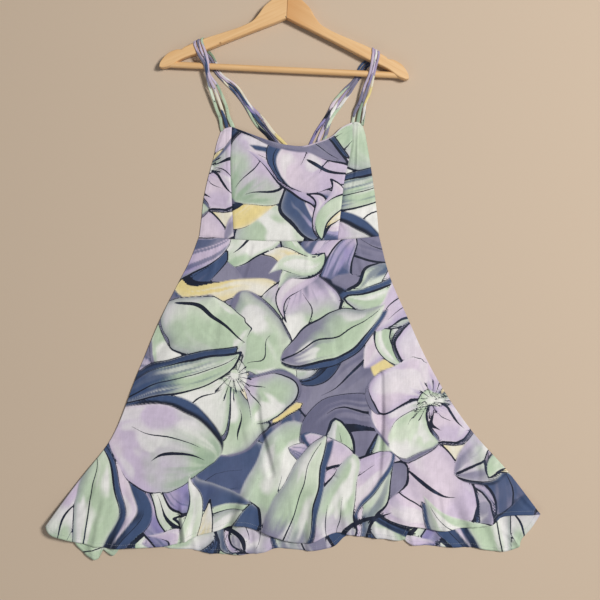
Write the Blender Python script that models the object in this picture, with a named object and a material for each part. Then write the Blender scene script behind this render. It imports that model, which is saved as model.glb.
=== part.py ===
"""A printed sundress on a wooden hanger, laid face up: the front panels lie on the back ones.

The tables are in millimetres and the scene is in metres. X runs across the dress, Y runs up it
towards the hanger, and Z points out of the surface that it lies on. The origin is on that
surface, under the middle of the waist.
"""

import math
from typing import NamedTuple

import bmesh
import bpy
import numpy as np

MM = 0.001

# Cloth
CLOTH = 1.2  # wall of every panel
SEAM = 0.3  # gap between pieces that are sewn together or lie on each other
PUFF = 2.4  # how far the front stands off the back, away from its seams
PUFF_START = 55.0  # distance from a seam at which the front has its full height
WAIST_PUFF = 0.35  # the share of that height left over the waist seam
COLUMN_STEP = 17.0  # widest column of a skirt panel at its hem
SKIRT_ROWS = 21
BODICE_ROWS = 11
BACK_COLUMNS, LEFT_COLUMNS, CENTRE_COLUMNS, RIGHT_COLUMNS = 17, 5, 15, 6
HEM_OVERRUN = 70.0  # how far a flute's path runs on past the hem's corners
COVER = 0.3  # how much of the back's own lift the front adds, to pass clear over it
FOLD_RUN_IN = 0.5  # share of a fold's path over which it rises, and the same where it sinks

# Straps
STRAP = 2.0  # thickness of a flattened strap
STRAP_SIDES = 8
STRAP_FLATNESS = 0.7  # 1 is an oval, and less is squarer
STRAP_RINGS = 15
STRAP_ROOM_START, STRAP_ROOM_END = 110.0, 140.0  # Y over which the front rises above the straps
STRAP_ROOM = 1.0
WRAP_ROOM = 0.9  # clearance of a strap where it bends round the arm
WRAP_REACH = 30.0  # straps lie side by side along the arm, and across their route from here on

# Hanger, in its own axes: U along it, V up it, from the middle between its tips
HANGER_MIDDLE = (-10.5, 293.5)
HANGER_TILT = math.radians(-2.72)
HANGER_UNDER = STRAP + SEAM  # it lies on the straps that pass behind it
ARM = 14.0
ARM_ROUND = 2.0
ARM_ROUND_STEPS = 2
ROUNDED_FROM = math.radians(60)  # the arm's sharper edges are rounded
ARM_TOP_POINTS, ARM_END_POINTS = 22, 12
BAR_RADIUS, BAR_V, BAR_HALF = 5.5, 6.5, 211.0
ROUND_SIDES = 16
HOOK_RADIUS, HOOK_BEND = 1.8, 22.0
HOOK_FOOT_V, HOOK_NECK_V, HOOK_CENTRE_V = 128.0, 172.0, 203.0
HOOK_TURN = (-62, 205)  # degrees at which its bend starts and ends
HOOK_HOLE_LENGTH = 60.0
HOOK_SHANK_POINTS, HOOK_BEND_POINTS, HOOK_POINTS = 8, 24, 40
ARM_CENTRE = HANGER_UNDER + ARM / 2

SHARP_ANGLE = math.radians(40)
WAIST_HALF = 163.0
WAIST_SIDE_Y, WAIST_DIP = 3.6, 9.6

# Outlines: x, y. The sides run down from the waist, or up from it on the bodice.
SKIRT_LEFT = (
    (-163, 3.6), (-181, -43), (-197.5, -75), (-220, -119), (-269, -231), (-324, -365), (-381, -438.5),
    (-435.6, -514.8),
)
SKIRT_RIGHT = (
    (160, 3.6), (179, -68), (209.5, -139), (249, -225), (286, -289), (327, -347), (392, -420),
    (448.2, -495),
)
FRONT_HEM = (
    (-435.6, -514.8), (-429, -527), (-404, -538), (-374, -546.5), (-322, -555.7), (-277, -555.7),
    (-230, -553.3), (-207, -549), (-183.6, -541.8), (-162, -532.8), (-128, -523), (-95.4, -513),
    (-61, -524), (-34, -533), (-5, -543.6), (36, -546.5), (57.6, -536.4), (90, -528), (109, -532.8),
    (137, -537), (169, -540), (203.4, -539), (214, -520), (243, -521.3), (272, -524.7), (290, -522),
    (322, -518), (363.6, -512), (378, -501.7), (403, -497), (448.2, -495),
)
BACK_HEM = (
    (-435.6, -514.8), (-405, -535), (-388, -542), (-381.6, -552.6), (-343.8, -576), (-337.5, -558),
    (-318.6, -570.6), (-300, -553), (-270, -552), (-227, -556), (-207, -559), (-174.6, -559.8),
    (-151, -565), (-117, -568), (-74.7, -568), (-47, -565), (-30.6, -558), (-2, -559), (32, -561.6),
    (57.6, -559.8), (77, -555.7), (102.6, -534), (150, -533), (196, -534), (214, -549), (249, -552.6),
    (295, -556), (331, -556), (369, -562.5), (391.7, -561.6), (410, -556), (417, -540), (430, -524),
    (448.2, -495),
)
BODICE_LEFT = (
    (-163, 3.6), (-159.5, 31.5), (-156, 65), (-146, 113), (-137, 145), (-130.5, 174), (-124, 192),
)
BODICE_RIGHT = (
    (160, 3.6), (156.5, 44), (151.5, 86), (144.5, 133), (138, 172), (135, 188), (130, 203.5),
)
SEAM_LEFT = ((-101, -2), (-104, 60), (-107, 140), (-104.5, 199.5))
SEAM_RIGHT = ((86, 1), (93.6, 68), (97, 99), (107.5, 148), (111.6, 172), (112.3, 208))
NECKLINE = (
    (-104.5, 199.5), (-71.5, 187), (-35, 174), (-4, 166.5), (25, 165), (47, 171), (76, 183),
    (94, 199), (112.3, 208),
)
STRAP_POINT_LEFT = ((-124, 192), (-115, 197), (-104.5, 199.5))
STRAP_POINT_RIGHT = ((112.3, 208), (121, 208), (130, 203.5))
BACK_TOP = ((-124, 186), (-90, 167), (-40, 155), (10, 151), (60, 156), (100, 173), (132, 195))


class Fold(NamedTuple):
    """A ridge: its path, how far it spreads to the left and right of it, its height, and how
    much of that height it has at the two ends of the path."""

    path: tuple
    left: float
    right: float
    height: float
    start: float = 0.0
    end: float = 1.0


class Flute(NamedTuple):
    """A fold that runs from the hem up towards the waist, named by its place at the hem."""

    hem_x: float
    reach: float
    left: float
    right: float
    height: float


class Lift(NamedTuple):
    """A round place where the cloth stands off the surface."""

    x: float
    y: float
    radius: float
    height: float


FRONT_FOLDS = (
    Fold(((-58, -408), (-72, -462), (-97, -530)), 16, 52, 6.5),
    Fold(((-52, -300), (-28, -362), (-4, -440)), 22, 40, 2.2, 0, 0),
    Fold(((190, -240), (196, -330), (188, -430)), 30, 36, 2.4, 0, 0),
    Fold(((135, -250), (140, -330), (136, -430)), 30, 22, 2.0, 0, 0),
    Fold(((-192, -470), (-184, -560)), 12, 16, 3.2),
    Fold(((-330, -430), (-360, -520)), 26, 22, 3.4),
    Fold(((-232, -240), (-188, -150)), 22, 22, 1.6, 0, 0),
)
FRONT_FLUTES = (
    Flute(-300, 300, 48, 44, 4.0),
    Flute(-235, 210, 34, 34, 2.6),
    Flute(-20, 170, 38, 44, 3.4),
    Flute(60, 110, 26, 22, 4.6),
    Flute(112, 80, 20, 24, 3.4),
    Flute(218, 120, 20, 40, 4.2),
    Flute(300, 250, 44, 44, 3.6),
    Flute(372, 110, 24, 30, 4.4),
)
BACK_FLUTES = (
    Flute(-362, 110, 24, 22, 5.0),
    Flute(-322, 90, 22, 24, 4.4),
    Flute(-150, 120, 26, 26, 4.0),
    Flute(-96, 90, 24, 24, 5.4),
    Flute(-40, 80, 22, 22, 4.6),
    Flute(44, 100, 26, 24, 4.6),
    Flute(232, 90, 22, 26, 4.4),
    Flute(300, 110, 26, 24, 4.0),
    Flute(354, 90, 22, 20, 5.2),
    Flute(394, 80, 20, 20, 5.6),
)
CORNER_LIFTS = (Lift(-436, -515, 95, 8.0), Lift(448, -495, 70, 4.5))
BUST_LIFTS = (Lift(-62, 92, 88, 2.6), Lift(66, 96, 88, 2.6))

# Straps run three abreast along a route, from the arm's top edge to the panel that they are sewn
# to: x, y, height of a strap's centre, spacing between straps, width of one.
TOP_Z = HANGER_UNDER + ARM + SEAM + STRAP / 2
BAR_Z = ARM_CENTRE + BAR_RADIUS + 2 * SEAM + STRAP / 2
FRONT_END_Z = 2.2
FLOOR_Z = STRAP / 2
WRAP_Z = 11.0  # where a strap's front stretch meets its back stretch, at the arm's top edge
WRAP_BEND = ((0.0, 2.6), (-0.8, 0.7), (-3.4, 0.0))  # y from that edge, z in from the flat stretch
STRAPS_ABREAST = 3
ROUTES = {
    "strap_front_left": (
        (-163.2, 346.4, TOP_Z, 6.7, 5.8),
        (-157.7, 331.4, TOP_Z, 6.3, 5.4),
        (-148.8, 308.0, BAR_Z, 5.3, 4.9),
        (-147.3, 295.0, 14.2, 4.9, 4.4),
        (-133.6, 262.8, 10.2, 7.4, 5.6),
        (-123.0, 234.0, 7.0, 8.8, 6.4),
        (-112.4, 197.6, FRONT_END_Z, 10.0, 6.8),
    ),
    "strap_front_right": (
        (153.4, 325.6, TOP_Z, 5.4, 4.6),
        (150.9, 312.6, TOP_Z, 5.4, 4.6),
        (146.6, 293.0, BAR_Z, 5.3, 4.8),
        (138.0, 265.0, 10.2, 6.2, 5.2),
        (130.4, 243.0, 7.6, 7.0, 5.6),
        (125.3, 226.0, 5.4, 7.9, 6.2),
        (121.6, 207.0, FRONT_END_Z, 9.0, 6.4),
    ),
    "strap_back_left": (
        (-160.6, 341.0, FLOOR_Z, 6.7, 5.6),
        (-142.0, 322.0, FLOOR_Z, 5.2, 4.6),
        (-130.6, 299.0, FLOOR_Z, 4.8, 4.2),
        (-94.6, 264.5, FLOOR_Z, 5.1, 4.4),
        (-74.8, 236.0, FLOOR_Z, 6.4, 5.4),
        (-60.4, 217.0, FLOOR_Z, 7.4, 6.2),
        (-27.0, 177.0, FLOOR_Z, 8.6, 6.6),
        (-8.0, 152.0, FLOOR_Z, 9.2, 6.6),
    ),
    "strap_back_right": (
        (152.7, 322.6, FLOOR_Z, 5.4, 4.6),
        (132.8, 309.0, FLOOR_Z, 5.0, 4.4),
        (119.4, 285.6, FLOOR_Z, 5.2, 4.6),
        (87.0, 244.0, FLOOR_Z, 6.6, 5.8),
        (67.6, 212.0, FLOOR_Z, 7.4, 6.4),
        (51.0, 176.0, FLOOR_Z, 9.6, 6.6),
        (41.6, 154.0, FLOOR_Z, 10.6, 6.6),
    ),
}

# One arm's outline, u, v, from the centre seam out over its top and back under it.
ARM_TOP = (
    (0, 146), (10, 143), (20, 136), (30, 127.5), (40.5, 117.5), (52, 100), (60, 90.5), (76, 81),
    (112, 66.5), (149, 52.5), (168, 43.5), (180, 37.2),
)
ARM_END = ((184.5, 33), (191.5, 32.8), (201, 29.5), (208.5, 25), (216.5, 16), (222, 5.5), (222.7, 0))
ARM_UNDER = ((217, -1.5), (206, 1.5), (186, 14.7), (148, 30.5), (114, 46.5), (0, 97.5))

PRINT_COLOUR = (0.47, 0.49, 0.51)
WOOD_COLOUR = (0.75, 0.50, 0.25)
STEEL_COLOUR = (0.62, 0.62, 0.61)
CLOTH_ROUGHNESS, WOOD_ROUGHNESS, STEEL_ROUGHNESS = 0.8, 0.45, 0.25


def smooth(rows, count):
    """count points, evenly spaced along a smooth curve through the rows, of any width."""
    rows = np.array(rows, float)
    run = np.r_[0, np.cumsum(np.linalg.norm(np.diff(rows[:, :2], axis=0), axis=1))]
    slope = np.gradient(rows, run, axis=0)
    at = np.linspace(0, run[-1], count)
    k = np.clip(np.searchsorted(run, at, side="right") - 1, 0, len(run) - 2)
    gap = (run[k + 1] - run[k])[:, None]
    t = (at[:, None] - run[k][:, None]) / gap
    return (
        rows[k] * (1 + 2 * t) * (1 - t) ** 2
        + rows[k + 1] * t**2 * (3 - 2 * t)
        + gap * slope[k] * t * (1 - t) ** 2
        + gap * slope[k + 1] * t**2 * (t - 1)
    )


def nearest(points, path):
    """Each point's distance to a path, the share of the path run there, and the side (+1 left)."""
    path = np.array(path, float)
    run = np.r_[0, np.cumsum(np.linalg.norm(np.diff(path, axis=0), axis=1))]
    best = np.full(len(points), np.inf)
    share = np.zeros(len(points))
    side = np.ones(len(points))
    for k, (a, b) in enumerate(zip(path[:-1], path[1:])):
        step = b - a
        t = np.clip((points - a) @ step / (step @ step), 0, 1)
        away = points - a - t[:, None] * step
        distance = np.hypot(*away.T)
        closer = distance < best
        best[closer] = distance[closer]
        share[closer] = ((run[k] + t * (run[k + 1] - run[k])) / run[-1])[closer]
        side[closer] = np.where(step[0] * away[:, 1] - step[1] * away[:, 0] >= 0, 1, -1)[closer]
    return best, share, side


def bump(ratio):
    return np.clip(1 - ratio**2, 0, 1) ** 2


def ramp(ratio):
    ratio = np.clip(ratio, 0, 1)
    return ratio**2 * (3 - 2 * ratio)


def fold_height(points, folds):
    total = np.zeros(len(points))
    for fold in folds:
        distance, share, side = nearest(points, fold.path)
        spread = np.where(side > 0, fold.left, fold.right)
        along = fold.start + (1 - fold.start) * ramp(share / FOLD_RUN_IN)
        along *= fold.end + (1 - fold.end) * ramp((1 - share) / FOLD_RUN_IN)
        total += fold.height * along * bump(distance / spread)
    return total


def as_fold(flute):
    """The flute's path, on the line that keeps its share of the skirt's width."""
    corner_x, corner_y = SKIRT_LEFT[-1]
    hem_y = corner_y - HEM_OVERRUN
    top_y = hem_y + flute.reach + HEM_OVERRUN
    width_at = [WAIST_HALF - (corner_x + WAIST_HALF) * y / corner_y for y in (top_y, hem_y)]
    return Fold(
        ((flute.hem_x * width_at[0] / width_at[1], top_y), (flute.hem_x, hem_y)),
        flute.left,
        flute.right,
        flute.height,
    )


def lift_height(points, lifts):
    return sum(
        lift.height * bump(np.hypot(points[:, 0] - lift.x, points[:, 1] - lift.y) / lift.radius)
        for lift in lifts
    )


def waist_y(x):
    return WAIST_SIDE_Y - WAIST_DIP * np.clip(1 - (x / WAIST_HALF) ** 2, 0, 1)


def back_height(points):
    """Height of the back panels' underside over the surface that they lie on."""
    return fold_height(points, [as_fold(f) for f in BACK_FLUTES]) + lift_height(points, CORNER_LIFTS)


def front_height(points):
    """Height of the front panels' underside."""
    seams = (SKIRT_LEFT, SKIRT_RIGHT, BODICE_LEFT, BODICE_RIGHT)
    from_side = np.min([nearest(points, seam)[0] for seam in seams], axis=0)
    from_waist = np.abs(points[:, 1] - waist_y(points[:, 0]))
    off_waist = WAIST_PUFF + (1 - WAIST_PUFF) * ramp(from_waist / PUFF_START)
    own = fold_height(points, FRONT_FOLDS + tuple(as_fold(f) for f in FRONT_FLUTES))
    own += lift_height(points, BUST_LIFTS)
    room = ramp((points[:, 1] - STRAP_ROOM_START) / (STRAP_ROOM_END - STRAP_ROOM_START))
    return (
        CLOTH
        + SEAM
        + (1 + COVER) * back_height(points)
        + PUFF * off_waist * ramp(from_side / PUFF_START)
        + ramp(from_side / (PUFF_START / 2)) * own
        + STRAP_ROOM * room
    )


def new_object(name, mesh, colour, roughness, metallic=0.0, parent=None):
    material = bpy.data.materials.new(name + "_finish")
    material.use_nodes = True
    shader = material.node_tree.nodes["Principled BSDF"]
    shader.inputs["Base Color"].default_value = (*colour, 1)
    shader.inputs["Roughness"].default_value = roughness
    shader.inputs["Metallic"].default_value = metallic
    mesh.name = name
    mesh.materials.append(material)
    piece = bpy.data.objects.new(name, mesh)
    bpy.context.collection.objects.link(piece)
    piece.parent = parent
    return piece


def finished(bm):
    """The bmesh as a smooth mesh, with its faces pointing out."""
    bmesh.ops.recalc_face_normals(bm, faces=bm.faces)
    mesh = bpy.data.meshes.new("solid")
    bm.to_mesh(mesh)
    bm.free()
    mesh.shade_smooth()
    mesh.set_sharp_from_angle(angle=SHARP_ANGLE)
    return mesh


def panel(name, grid, height, parent):
    """A wall of cloth on a grid of (row, column, xy), its underside at height(points)."""
    rows, columns = grid.shape[:2]
    points = grid.reshape(-1, 2)
    under = np.c_[points, height(points)]
    bm = bmesh.new()
    verts = [bm.verts.new(p * MM) for p in under]
    for i in range(rows - 1):
        for j in range(columns - 1):
            a = verts[i * columns + j]
            b = verts[(i + 1) * columns + j]
            c = verts[(i + 1) * columns + j + 1]
            d = verts[i * columns + j + 1]
            bm.faces.new((a, b, c))
            bm.faces.new((a, c, d))
    raised = bmesh.ops.extrude_face_region(bm, geom=list(bm.faces), use_keep_orig=True)
    top = [v for v in raised["geom"] if isinstance(v, bmesh.types.BMVert)]
    bmesh.ops.translate(bm, verts=top, vec=(0, 0, CLOTH * MM))
    return new_object(name, finished(bm), PRINT_COLOUR, CLOTH_ROUGHNESS, parent=parent)


def blend_grid(top, bottom, left, right, shares):
    """A grid between four edges (a Coons patch): top and bottom run left to right with one point
    for each column, and left and right run down with one for each row."""
    u = shares[None, :, None]
    v = np.linspace(0, 1, len(left))[:, None, None]
    across = (1 - u) * left[:, None] + u * right[:, None]
    down = (1 - v) * top[None] + v * bottom[None]
    corners = (1 - v) * ((1 - u) * top[0] + u * top[-1]) + v * ((1 - u) * bottom[0] + u * bottom[-1])
    return across + down - corners


def hem_columns(hem):
    """The hem's points with more between them, so that no column is wider than COLUMN_STEP."""
    hem = np.array(hem, float)
    x = [hem[0, 0]]
    for a, b in zip(hem[:-1, 0], hem[1:, 0]):
        x.extend(np.linspace(a, b, 1 + math.ceil((b - a) / COLUMN_STEP))[1:])
    return np.c_[x, np.interp(x, *hem.T)]


def skirt(name, hem, height, parent):
    bottom = hem_columns(hem)
    shares = (bottom[:, 0] - bottom[0, 0]) / (bottom[-1, 0] - bottom[0, 0])
    x = SKIRT_LEFT[0][0] + shares * (SKIRT_RIGHT[0][0] - SKIRT_LEFT[0][0])
    top = np.c_[x, waist_y(x) - SEAM / 2]
    left = smooth(SKIRT_LEFT, SKIRT_ROWS)
    right = smooth(SKIRT_RIGHT, SKIRT_ROWS)
    left[0], right[0] = top[0], top[-1]
    return panel(name, blend_grid(top, bottom, left, right, shares), height, parent)


def bodice(name, top_edge, left_edge, right_edge, height, parent):
    """A bodice panel between its top edge, from left to right, and its side edges, from the
    waist up. Its waist edge lies along the waist seam."""
    left = smooth(left_edge, BODICE_ROWS)[::-1]
    right = smooth(right_edge, BODICE_ROWS)[::-1]
    top = top_edge.copy()
    shares = np.linspace(0, 1, len(top))
    x = left[-1, 0] + shares * (right[-1, 0] - left[-1, 0])
    bottom = np.c_[x, waist_y(x) + SEAM / 2]
    top[0], top[-1] = left[0], right[0]
    left[-1], right[-1] = bottom[0], bottom[-1]
    return panel(name, blend_grid(top, bottom, left, right, shares), height, parent)


def shifted(points, dx):
    return [(x + dx, y) for x, y in points]


def arm_edge_y(x):
    """Y of the hanger's top edge over this x, and the edge's slope."""
    cos, sin = math.cos(HANGER_TILT), math.sin(HANGER_TILT)
    side = -1 if x < HANGER_MIDDLE[0] else 1
    edge = [
        (HANGER_MIDDLE[0] + side * u * cos - v * sin, HANGER_MIDDLE[1] + side * u * sin + v * cos)
        for u, v in ARM_TOP
    ][::side]
    xs, ys = np.array(edge).T
    ahead, here = np.interp([x + 1, x], xs, ys)
    return here, ahead - here


def wrap(x):
    """Centre of a strap where it goes round the arm's top edge."""
    y, slope = arm_edge_y(x)
    return y + (STRAP / 2 + WRAP_ROOM) * math.hypot(1, slope)


def strap_rings(places, widths, across):
    """Rings of a flattened tube. across is the direction of its width at each place."""
    tangent = np.gradient(places, axis=0)
    tangent /= np.linalg.norm(tangent, axis=1)[:, None]
    corner = math.pi / STRAP_SIDES
    turn = np.linspace(0, 2 * math.pi, STRAP_SIDES, endpoint=False) + corner
    flat = np.sign(np.cos(turn)) * np.abs(np.cos(turn) / math.cos(corner)) ** STRAP_FLATNESS / 2
    thick = np.sin(turn) / math.cos(corner) * STRAP / 2
    rings = []
    for centre, way, side, width in zip(places, tangent, across, widths):
        side = side - (side @ way) * way
        side /= np.linalg.norm(side)
        rings.append(centre + np.outer(flat * width, side) + np.outer(thick, np.cross(side, way)))
    return rings


def strap(name, route, lane, is_front, meets, parent):
    """One strap stretch: from the arm's top edge along the route, lane spacings to the left of
    it, to the panel edge that it meets."""
    route = smooth(route, STRAP_RINGS)
    heading = np.gradient(route[:, :2], axis=0)
    across = np.c_[heading[:, 1], -heading[:, 0]]
    across /= np.linalg.norm(across, axis=1)[:, None]
    along_arm = np.array([-1, -arm_edge_y(route[0, 0])[1]])
    along_arm /= np.linalg.norm(along_arm)
    turned = ramp(np.linalg.norm(route[:, :2] - route[0, :2], axis=1) / WRAP_REACH)[:, None]
    across = turned * across + (1 - turned) * along_arm
    places = np.c_[route[:, :2] + lane * route[:, 3:4] * across, route[:, 2]]
    x = places[0, 0]
    y = wrap(x)
    level, inward = (TOP_Z, -1) if is_front else (FLOOR_Z, 1)
    bend = [(x, y, WRAP_Z + (SEAM if is_front else 0))]
    bend += [(x, y + back, level + inward * rise) for back, rise in WRAP_BEND]
    places = np.vstack([bend, places])
    widths = np.r_[[route[0, 4]] * len(bend), route[:, 4]]
    across = np.vstack([[along_arm] * len(bend), across])
    rings = strap_rings(places, widths, np.c_[across, np.zeros(len(across))])
    rings[-1][:, 1] = np.interp(rings[-1][:, 0], *meets.T) + 2 * SEAM
    bm = bmesh.new()
    loops = [[bm.verts.new(p * MM) for p in ring] for ring in rings]
    for a, b in zip(loops[:-1], loops[1:]):
        for k in range(STRAP_SIDES):
            n = (k + 1) % STRAP_SIDES
            bm.faces.new((a[k], a[n], b[n], b[k]))
    bm.faces.new(loops[0])
    bm.faces.new(loops[-1])
    return new_object(name, finished(bm), PRINT_COLOUR, CLOTH_ROUGHNESS, parent=parent)


def cutter(name, radius, length, v, along_u, parent):
    """A guide cylinder that cuts a hole for the bar or the hook."""
    bm = bmesh.new()
    bmesh.ops.create_cone(
        bm, cap_ends=True, segments=ROUND_SIDES, radius1=radius * MM, radius2=radius * MM,
        depth=length * MM,
    )
    mesh = bpy.data.meshes.new(name)
    bm.to_mesh(mesh)
    bm.free()
    guide = bpy.data.objects.new(name, mesh)
    bpy.context.collection.objects.link(guide)
    guide.parent = parent
    guide.location = (0, v * MM, ARM_CENTRE * MM)
    guide.rotation_euler = (0, math.pi / 2, 0) if along_u else (math.pi / 2, 0, 0)
    guide.hide_render = True
    guide.display_type = "WIRE"
    return guide


def arm_outline():
    over = smooth(ARM_TOP, ARM_TOP_POINTS)
    end = smooth(ARM_END, ARM_END_POINTS)
    under = np.array(ARM_UNDER, float)
    return np.vstack([over, end, under])


def hanger_arm(name, side, cutters, parent):
    """One wooden arm: its outline raised to the arm's thickness, with rounded edges."""
    outline = arm_outline()
    outline[:, 0] = side * np.maximum(outline[:, 0], SEAM / 2)
    bm = bmesh.new()
    face = bm.faces.new([bm.verts.new((u * MM, v * MM, HANGER_UNDER * MM)) for u, v in outline])
    raised = bmesh.ops.extrude_face_region(bm, geom=[face], use_keep_orig=True)
    top = [v for v in raised["geom"] if isinstance(v, bmesh.types.BMVert)]
    bmesh.ops.translate(bm, verts=top, vec=(0, 0, ARM * MM))
    piece = new_object(name, finished(bm), WOOD_COLOUR, WOOD_ROUGHNESS, parent=parent)
    bevel = piece.modifiers.new("rounded_edges", "BEVEL")
    bevel.width = ARM_ROUND * MM
    bevel.segments = ARM_ROUND_STEPS
    bevel.limit_method = "ANGLE"
    bevel.angle_limit = ROUNDED_FROM
    for guide in cutters:
        cut = piece.modifiers.new(guide.name, "BOOLEAN")
        cut.object = guide
        cut.operation = "DIFFERENCE"
    return piece


def hanger_bar(parent):
    bm = bmesh.new()
    bmesh.ops.create_cone(
        bm, cap_ends=True, segments=ROUND_SIDES, radius1=BAR_RADIUS * MM, radius2=BAR_RADIUS * MM,
        depth=2 * BAR_HALF * MM,
    )
    piece = new_object("hanger_bar", finished(bm), WOOD_COLOUR, WOOD_ROUGHNESS, parent=parent)
    piece.location = (0, BAR_V * MM, ARM_CENTRE * MM)
    piece.rotation_euler = (0, math.pi / 2, 0)
    return piece


def hanger_hook(parent):
    """A bent rod: up out of the neck, then round to an open hook."""
    shank = [(0, v, 0) for v in np.linspace(HOOK_FOOT_V, HOOK_NECK_V, HOOK_SHANK_POINTS)]
    turns = np.radians(np.linspace(*HOOK_TURN, HOOK_BEND_POINTS))
    bend = [(HOOK_BEND * math.cos(t), HOOK_CENTRE_V + HOOK_BEND * math.sin(t), 0) for t in turns]
    points = smooth(np.array(shank + bend), HOOK_POINTS)
    curve = bpy.data.curves.new("hanger_hook", "CURVE")
    curve.dimensions = "3D"
    curve.bevel_depth = HOOK_RADIUS * MM
    curve.bevel_resolution = 3
    curve.use_fill_caps = True
    spline = curve.splines.new("POLY")
    spline.points.add(len(points) - 1)
    for point, place in zip(spline.points, points):
        point.co = (*(place * MM), 1)
    piece = new_object("hanger_hook", curve, STEEL_COLOUR, STEEL_ROUGHNESS, 1.0, parent)
    piece.location = (0, 0, ARM_CENTRE * MM)
    return piece


def build_dress(dress):
    skirt("skirt_back", BACK_HEM, back_height, dress)
    skirt("skirt_front", FRONT_HEM, front_height, dress)
    half = SEAM / 2
    back_edge = smooth(BACK_TOP, BACK_COLUMNS)
    left_edge = smooth(STRAP_POINT_LEFT, LEFT_COLUMNS)
    centre_edge = smooth(NECKLINE, CENTRE_COLUMNS)
    right_edge = smooth(STRAP_POINT_RIGHT, RIGHT_COLUMNS)
    bodice("bodice_back", back_edge, BODICE_LEFT, BODICE_RIGHT, back_height, dress)
    bodice(
        "bodice_front_left", left_edge, BODICE_LEFT, shifted(SEAM_LEFT, -half), front_height, dress
    )
    bodice(
        "bodice_front_centre", centre_edge, shifted(SEAM_LEFT, half), shifted(SEAM_RIGHT, -half),
        front_height, dress,
    )
    bodice(
        "bodice_front_right", right_edge, shifted(SEAM_RIGHT, half), BODICE_RIGHT, front_height,
        dress,
    )
    front_edge = np.vstack([left_edge, centre_edge[1:], right_edge[1:]])
    for group, route in ROUTES.items():
        is_front = "front" in group
        meets = front_edge if is_front else back_edge
        for number in range(1, STRAPS_ABREAST + 1):
            lane = (STRAPS_ABREAST + 1) / 2 - number
            strap(f"{group}_{number}", route, lane, is_front, meets, dress)


def build_hanger(hanger):
    hook_hole = cutter(
        "hook_hole", HOOK_RADIUS + SEAM, HOOK_HOLE_LENGTH, HOOK_FOOT_V - SEAM + HOOK_HOLE_LENGTH / 2,
        False, hanger,
    )
    bar_hole = cutter("bar_hole", BAR_RADIUS + SEAM, 2 * (BAR_HALF + SEAM), BAR_V, True, hanger)
    hanger_arm("hanger_arm_left", -1, (hook_hole, bar_hole), hanger)
    hanger_arm("hanger_arm_right", 1, (hook_hole, bar_hole), hanger)
    hanger_bar(hanger)
    hanger_hook(hanger)


def empty(name):
    marker = bpy.data.objects.new(name, None)
    bpy.context.collection.objects.link(marker)
    return marker


def main():
    for old in list(bpy.data.objects):
        bpy.data.objects.remove(old, do_unlink=True)
    dress = empty("dress")
    hanger = empty("hanger")
    hanger.location = (HANGER_MIDDLE[0] * MM, HANGER_MIDDLE[1] * MM, 0)
    hanger.rotation_euler = (0, 0, HANGER_TILT)
    build_dress(dress)
    build_hanger(hanger)


main()
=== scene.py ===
"""The looks of a printed sundress on a wooden hanger, laid face up on a plain floor.

Tables are in millimetres and the scene is in metres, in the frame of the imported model: X runs
across the dress, Y up it towards the hanger, and Z out of the surface that it lies on.
"""

import math
from typing import NamedTuple

import bpy
import mathutils
import numpy as np
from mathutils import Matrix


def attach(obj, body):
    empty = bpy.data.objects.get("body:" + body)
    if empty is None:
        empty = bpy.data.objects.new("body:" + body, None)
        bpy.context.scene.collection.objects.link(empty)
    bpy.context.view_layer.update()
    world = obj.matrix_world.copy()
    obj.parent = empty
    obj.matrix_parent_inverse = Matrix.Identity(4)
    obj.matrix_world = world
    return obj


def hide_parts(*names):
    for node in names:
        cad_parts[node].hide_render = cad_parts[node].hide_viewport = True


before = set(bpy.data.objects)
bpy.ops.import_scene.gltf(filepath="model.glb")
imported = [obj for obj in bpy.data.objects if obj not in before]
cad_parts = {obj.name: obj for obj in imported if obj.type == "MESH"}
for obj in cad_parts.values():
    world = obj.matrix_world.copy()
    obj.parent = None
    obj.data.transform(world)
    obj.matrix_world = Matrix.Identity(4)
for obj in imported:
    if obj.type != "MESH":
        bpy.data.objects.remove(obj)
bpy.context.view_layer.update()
MM = 0.001


# ------------------------------------------------------------------ sizes, as in the solids
CLOTH, SEAM = 1.2, 0.3  # a panel's wall, and the gap between pieces
# The front stands off the back by a puff that starts at the sides, and is less at the waist.
PUFF, PUFF_START, WAIST_PUFF, COVER = 2.4, 55.0, 0.35, 0.3
HEM_OVERRUN = 70.0  # a flute runs on past the hem
WAIST_HALF, WAIST_SIDE_Y, WAIST_DIP = 163.0, 3.6, 9.6
STRAP = 2.0
STRAP_ROOM_START, STRAP_ROOM_END, STRAP_ROOM = 110.0, 140.0, 1.0
WRAP_ROOM, WRAP_REACH = 0.9, 30.0  # at the turn round the arm
# On the hanger, u runs along it from its middle and v across it towards the hook.
HANGER_MIDDLE, HANGER_TILT = (-10.5, 293.5), math.radians(-2.72)
HANGER_UNDER, ARM = STRAP + SEAM, 14.0
ARM_CENTRE = HANGER_UNDER + ARM / 2
BAR_RADIUS, BAR_V, BAR_HALF = 5.5, 6.5, 211.0
HOOK_RADIUS, HOOK_BEND, HOOK_TURN = 1.8, 22.0, (-62, 205)
HOOK_FOOT_V, HOOK_NECK_V, HOOK_CENTRE_V = 128.0, 172.0, 203.0

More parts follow.
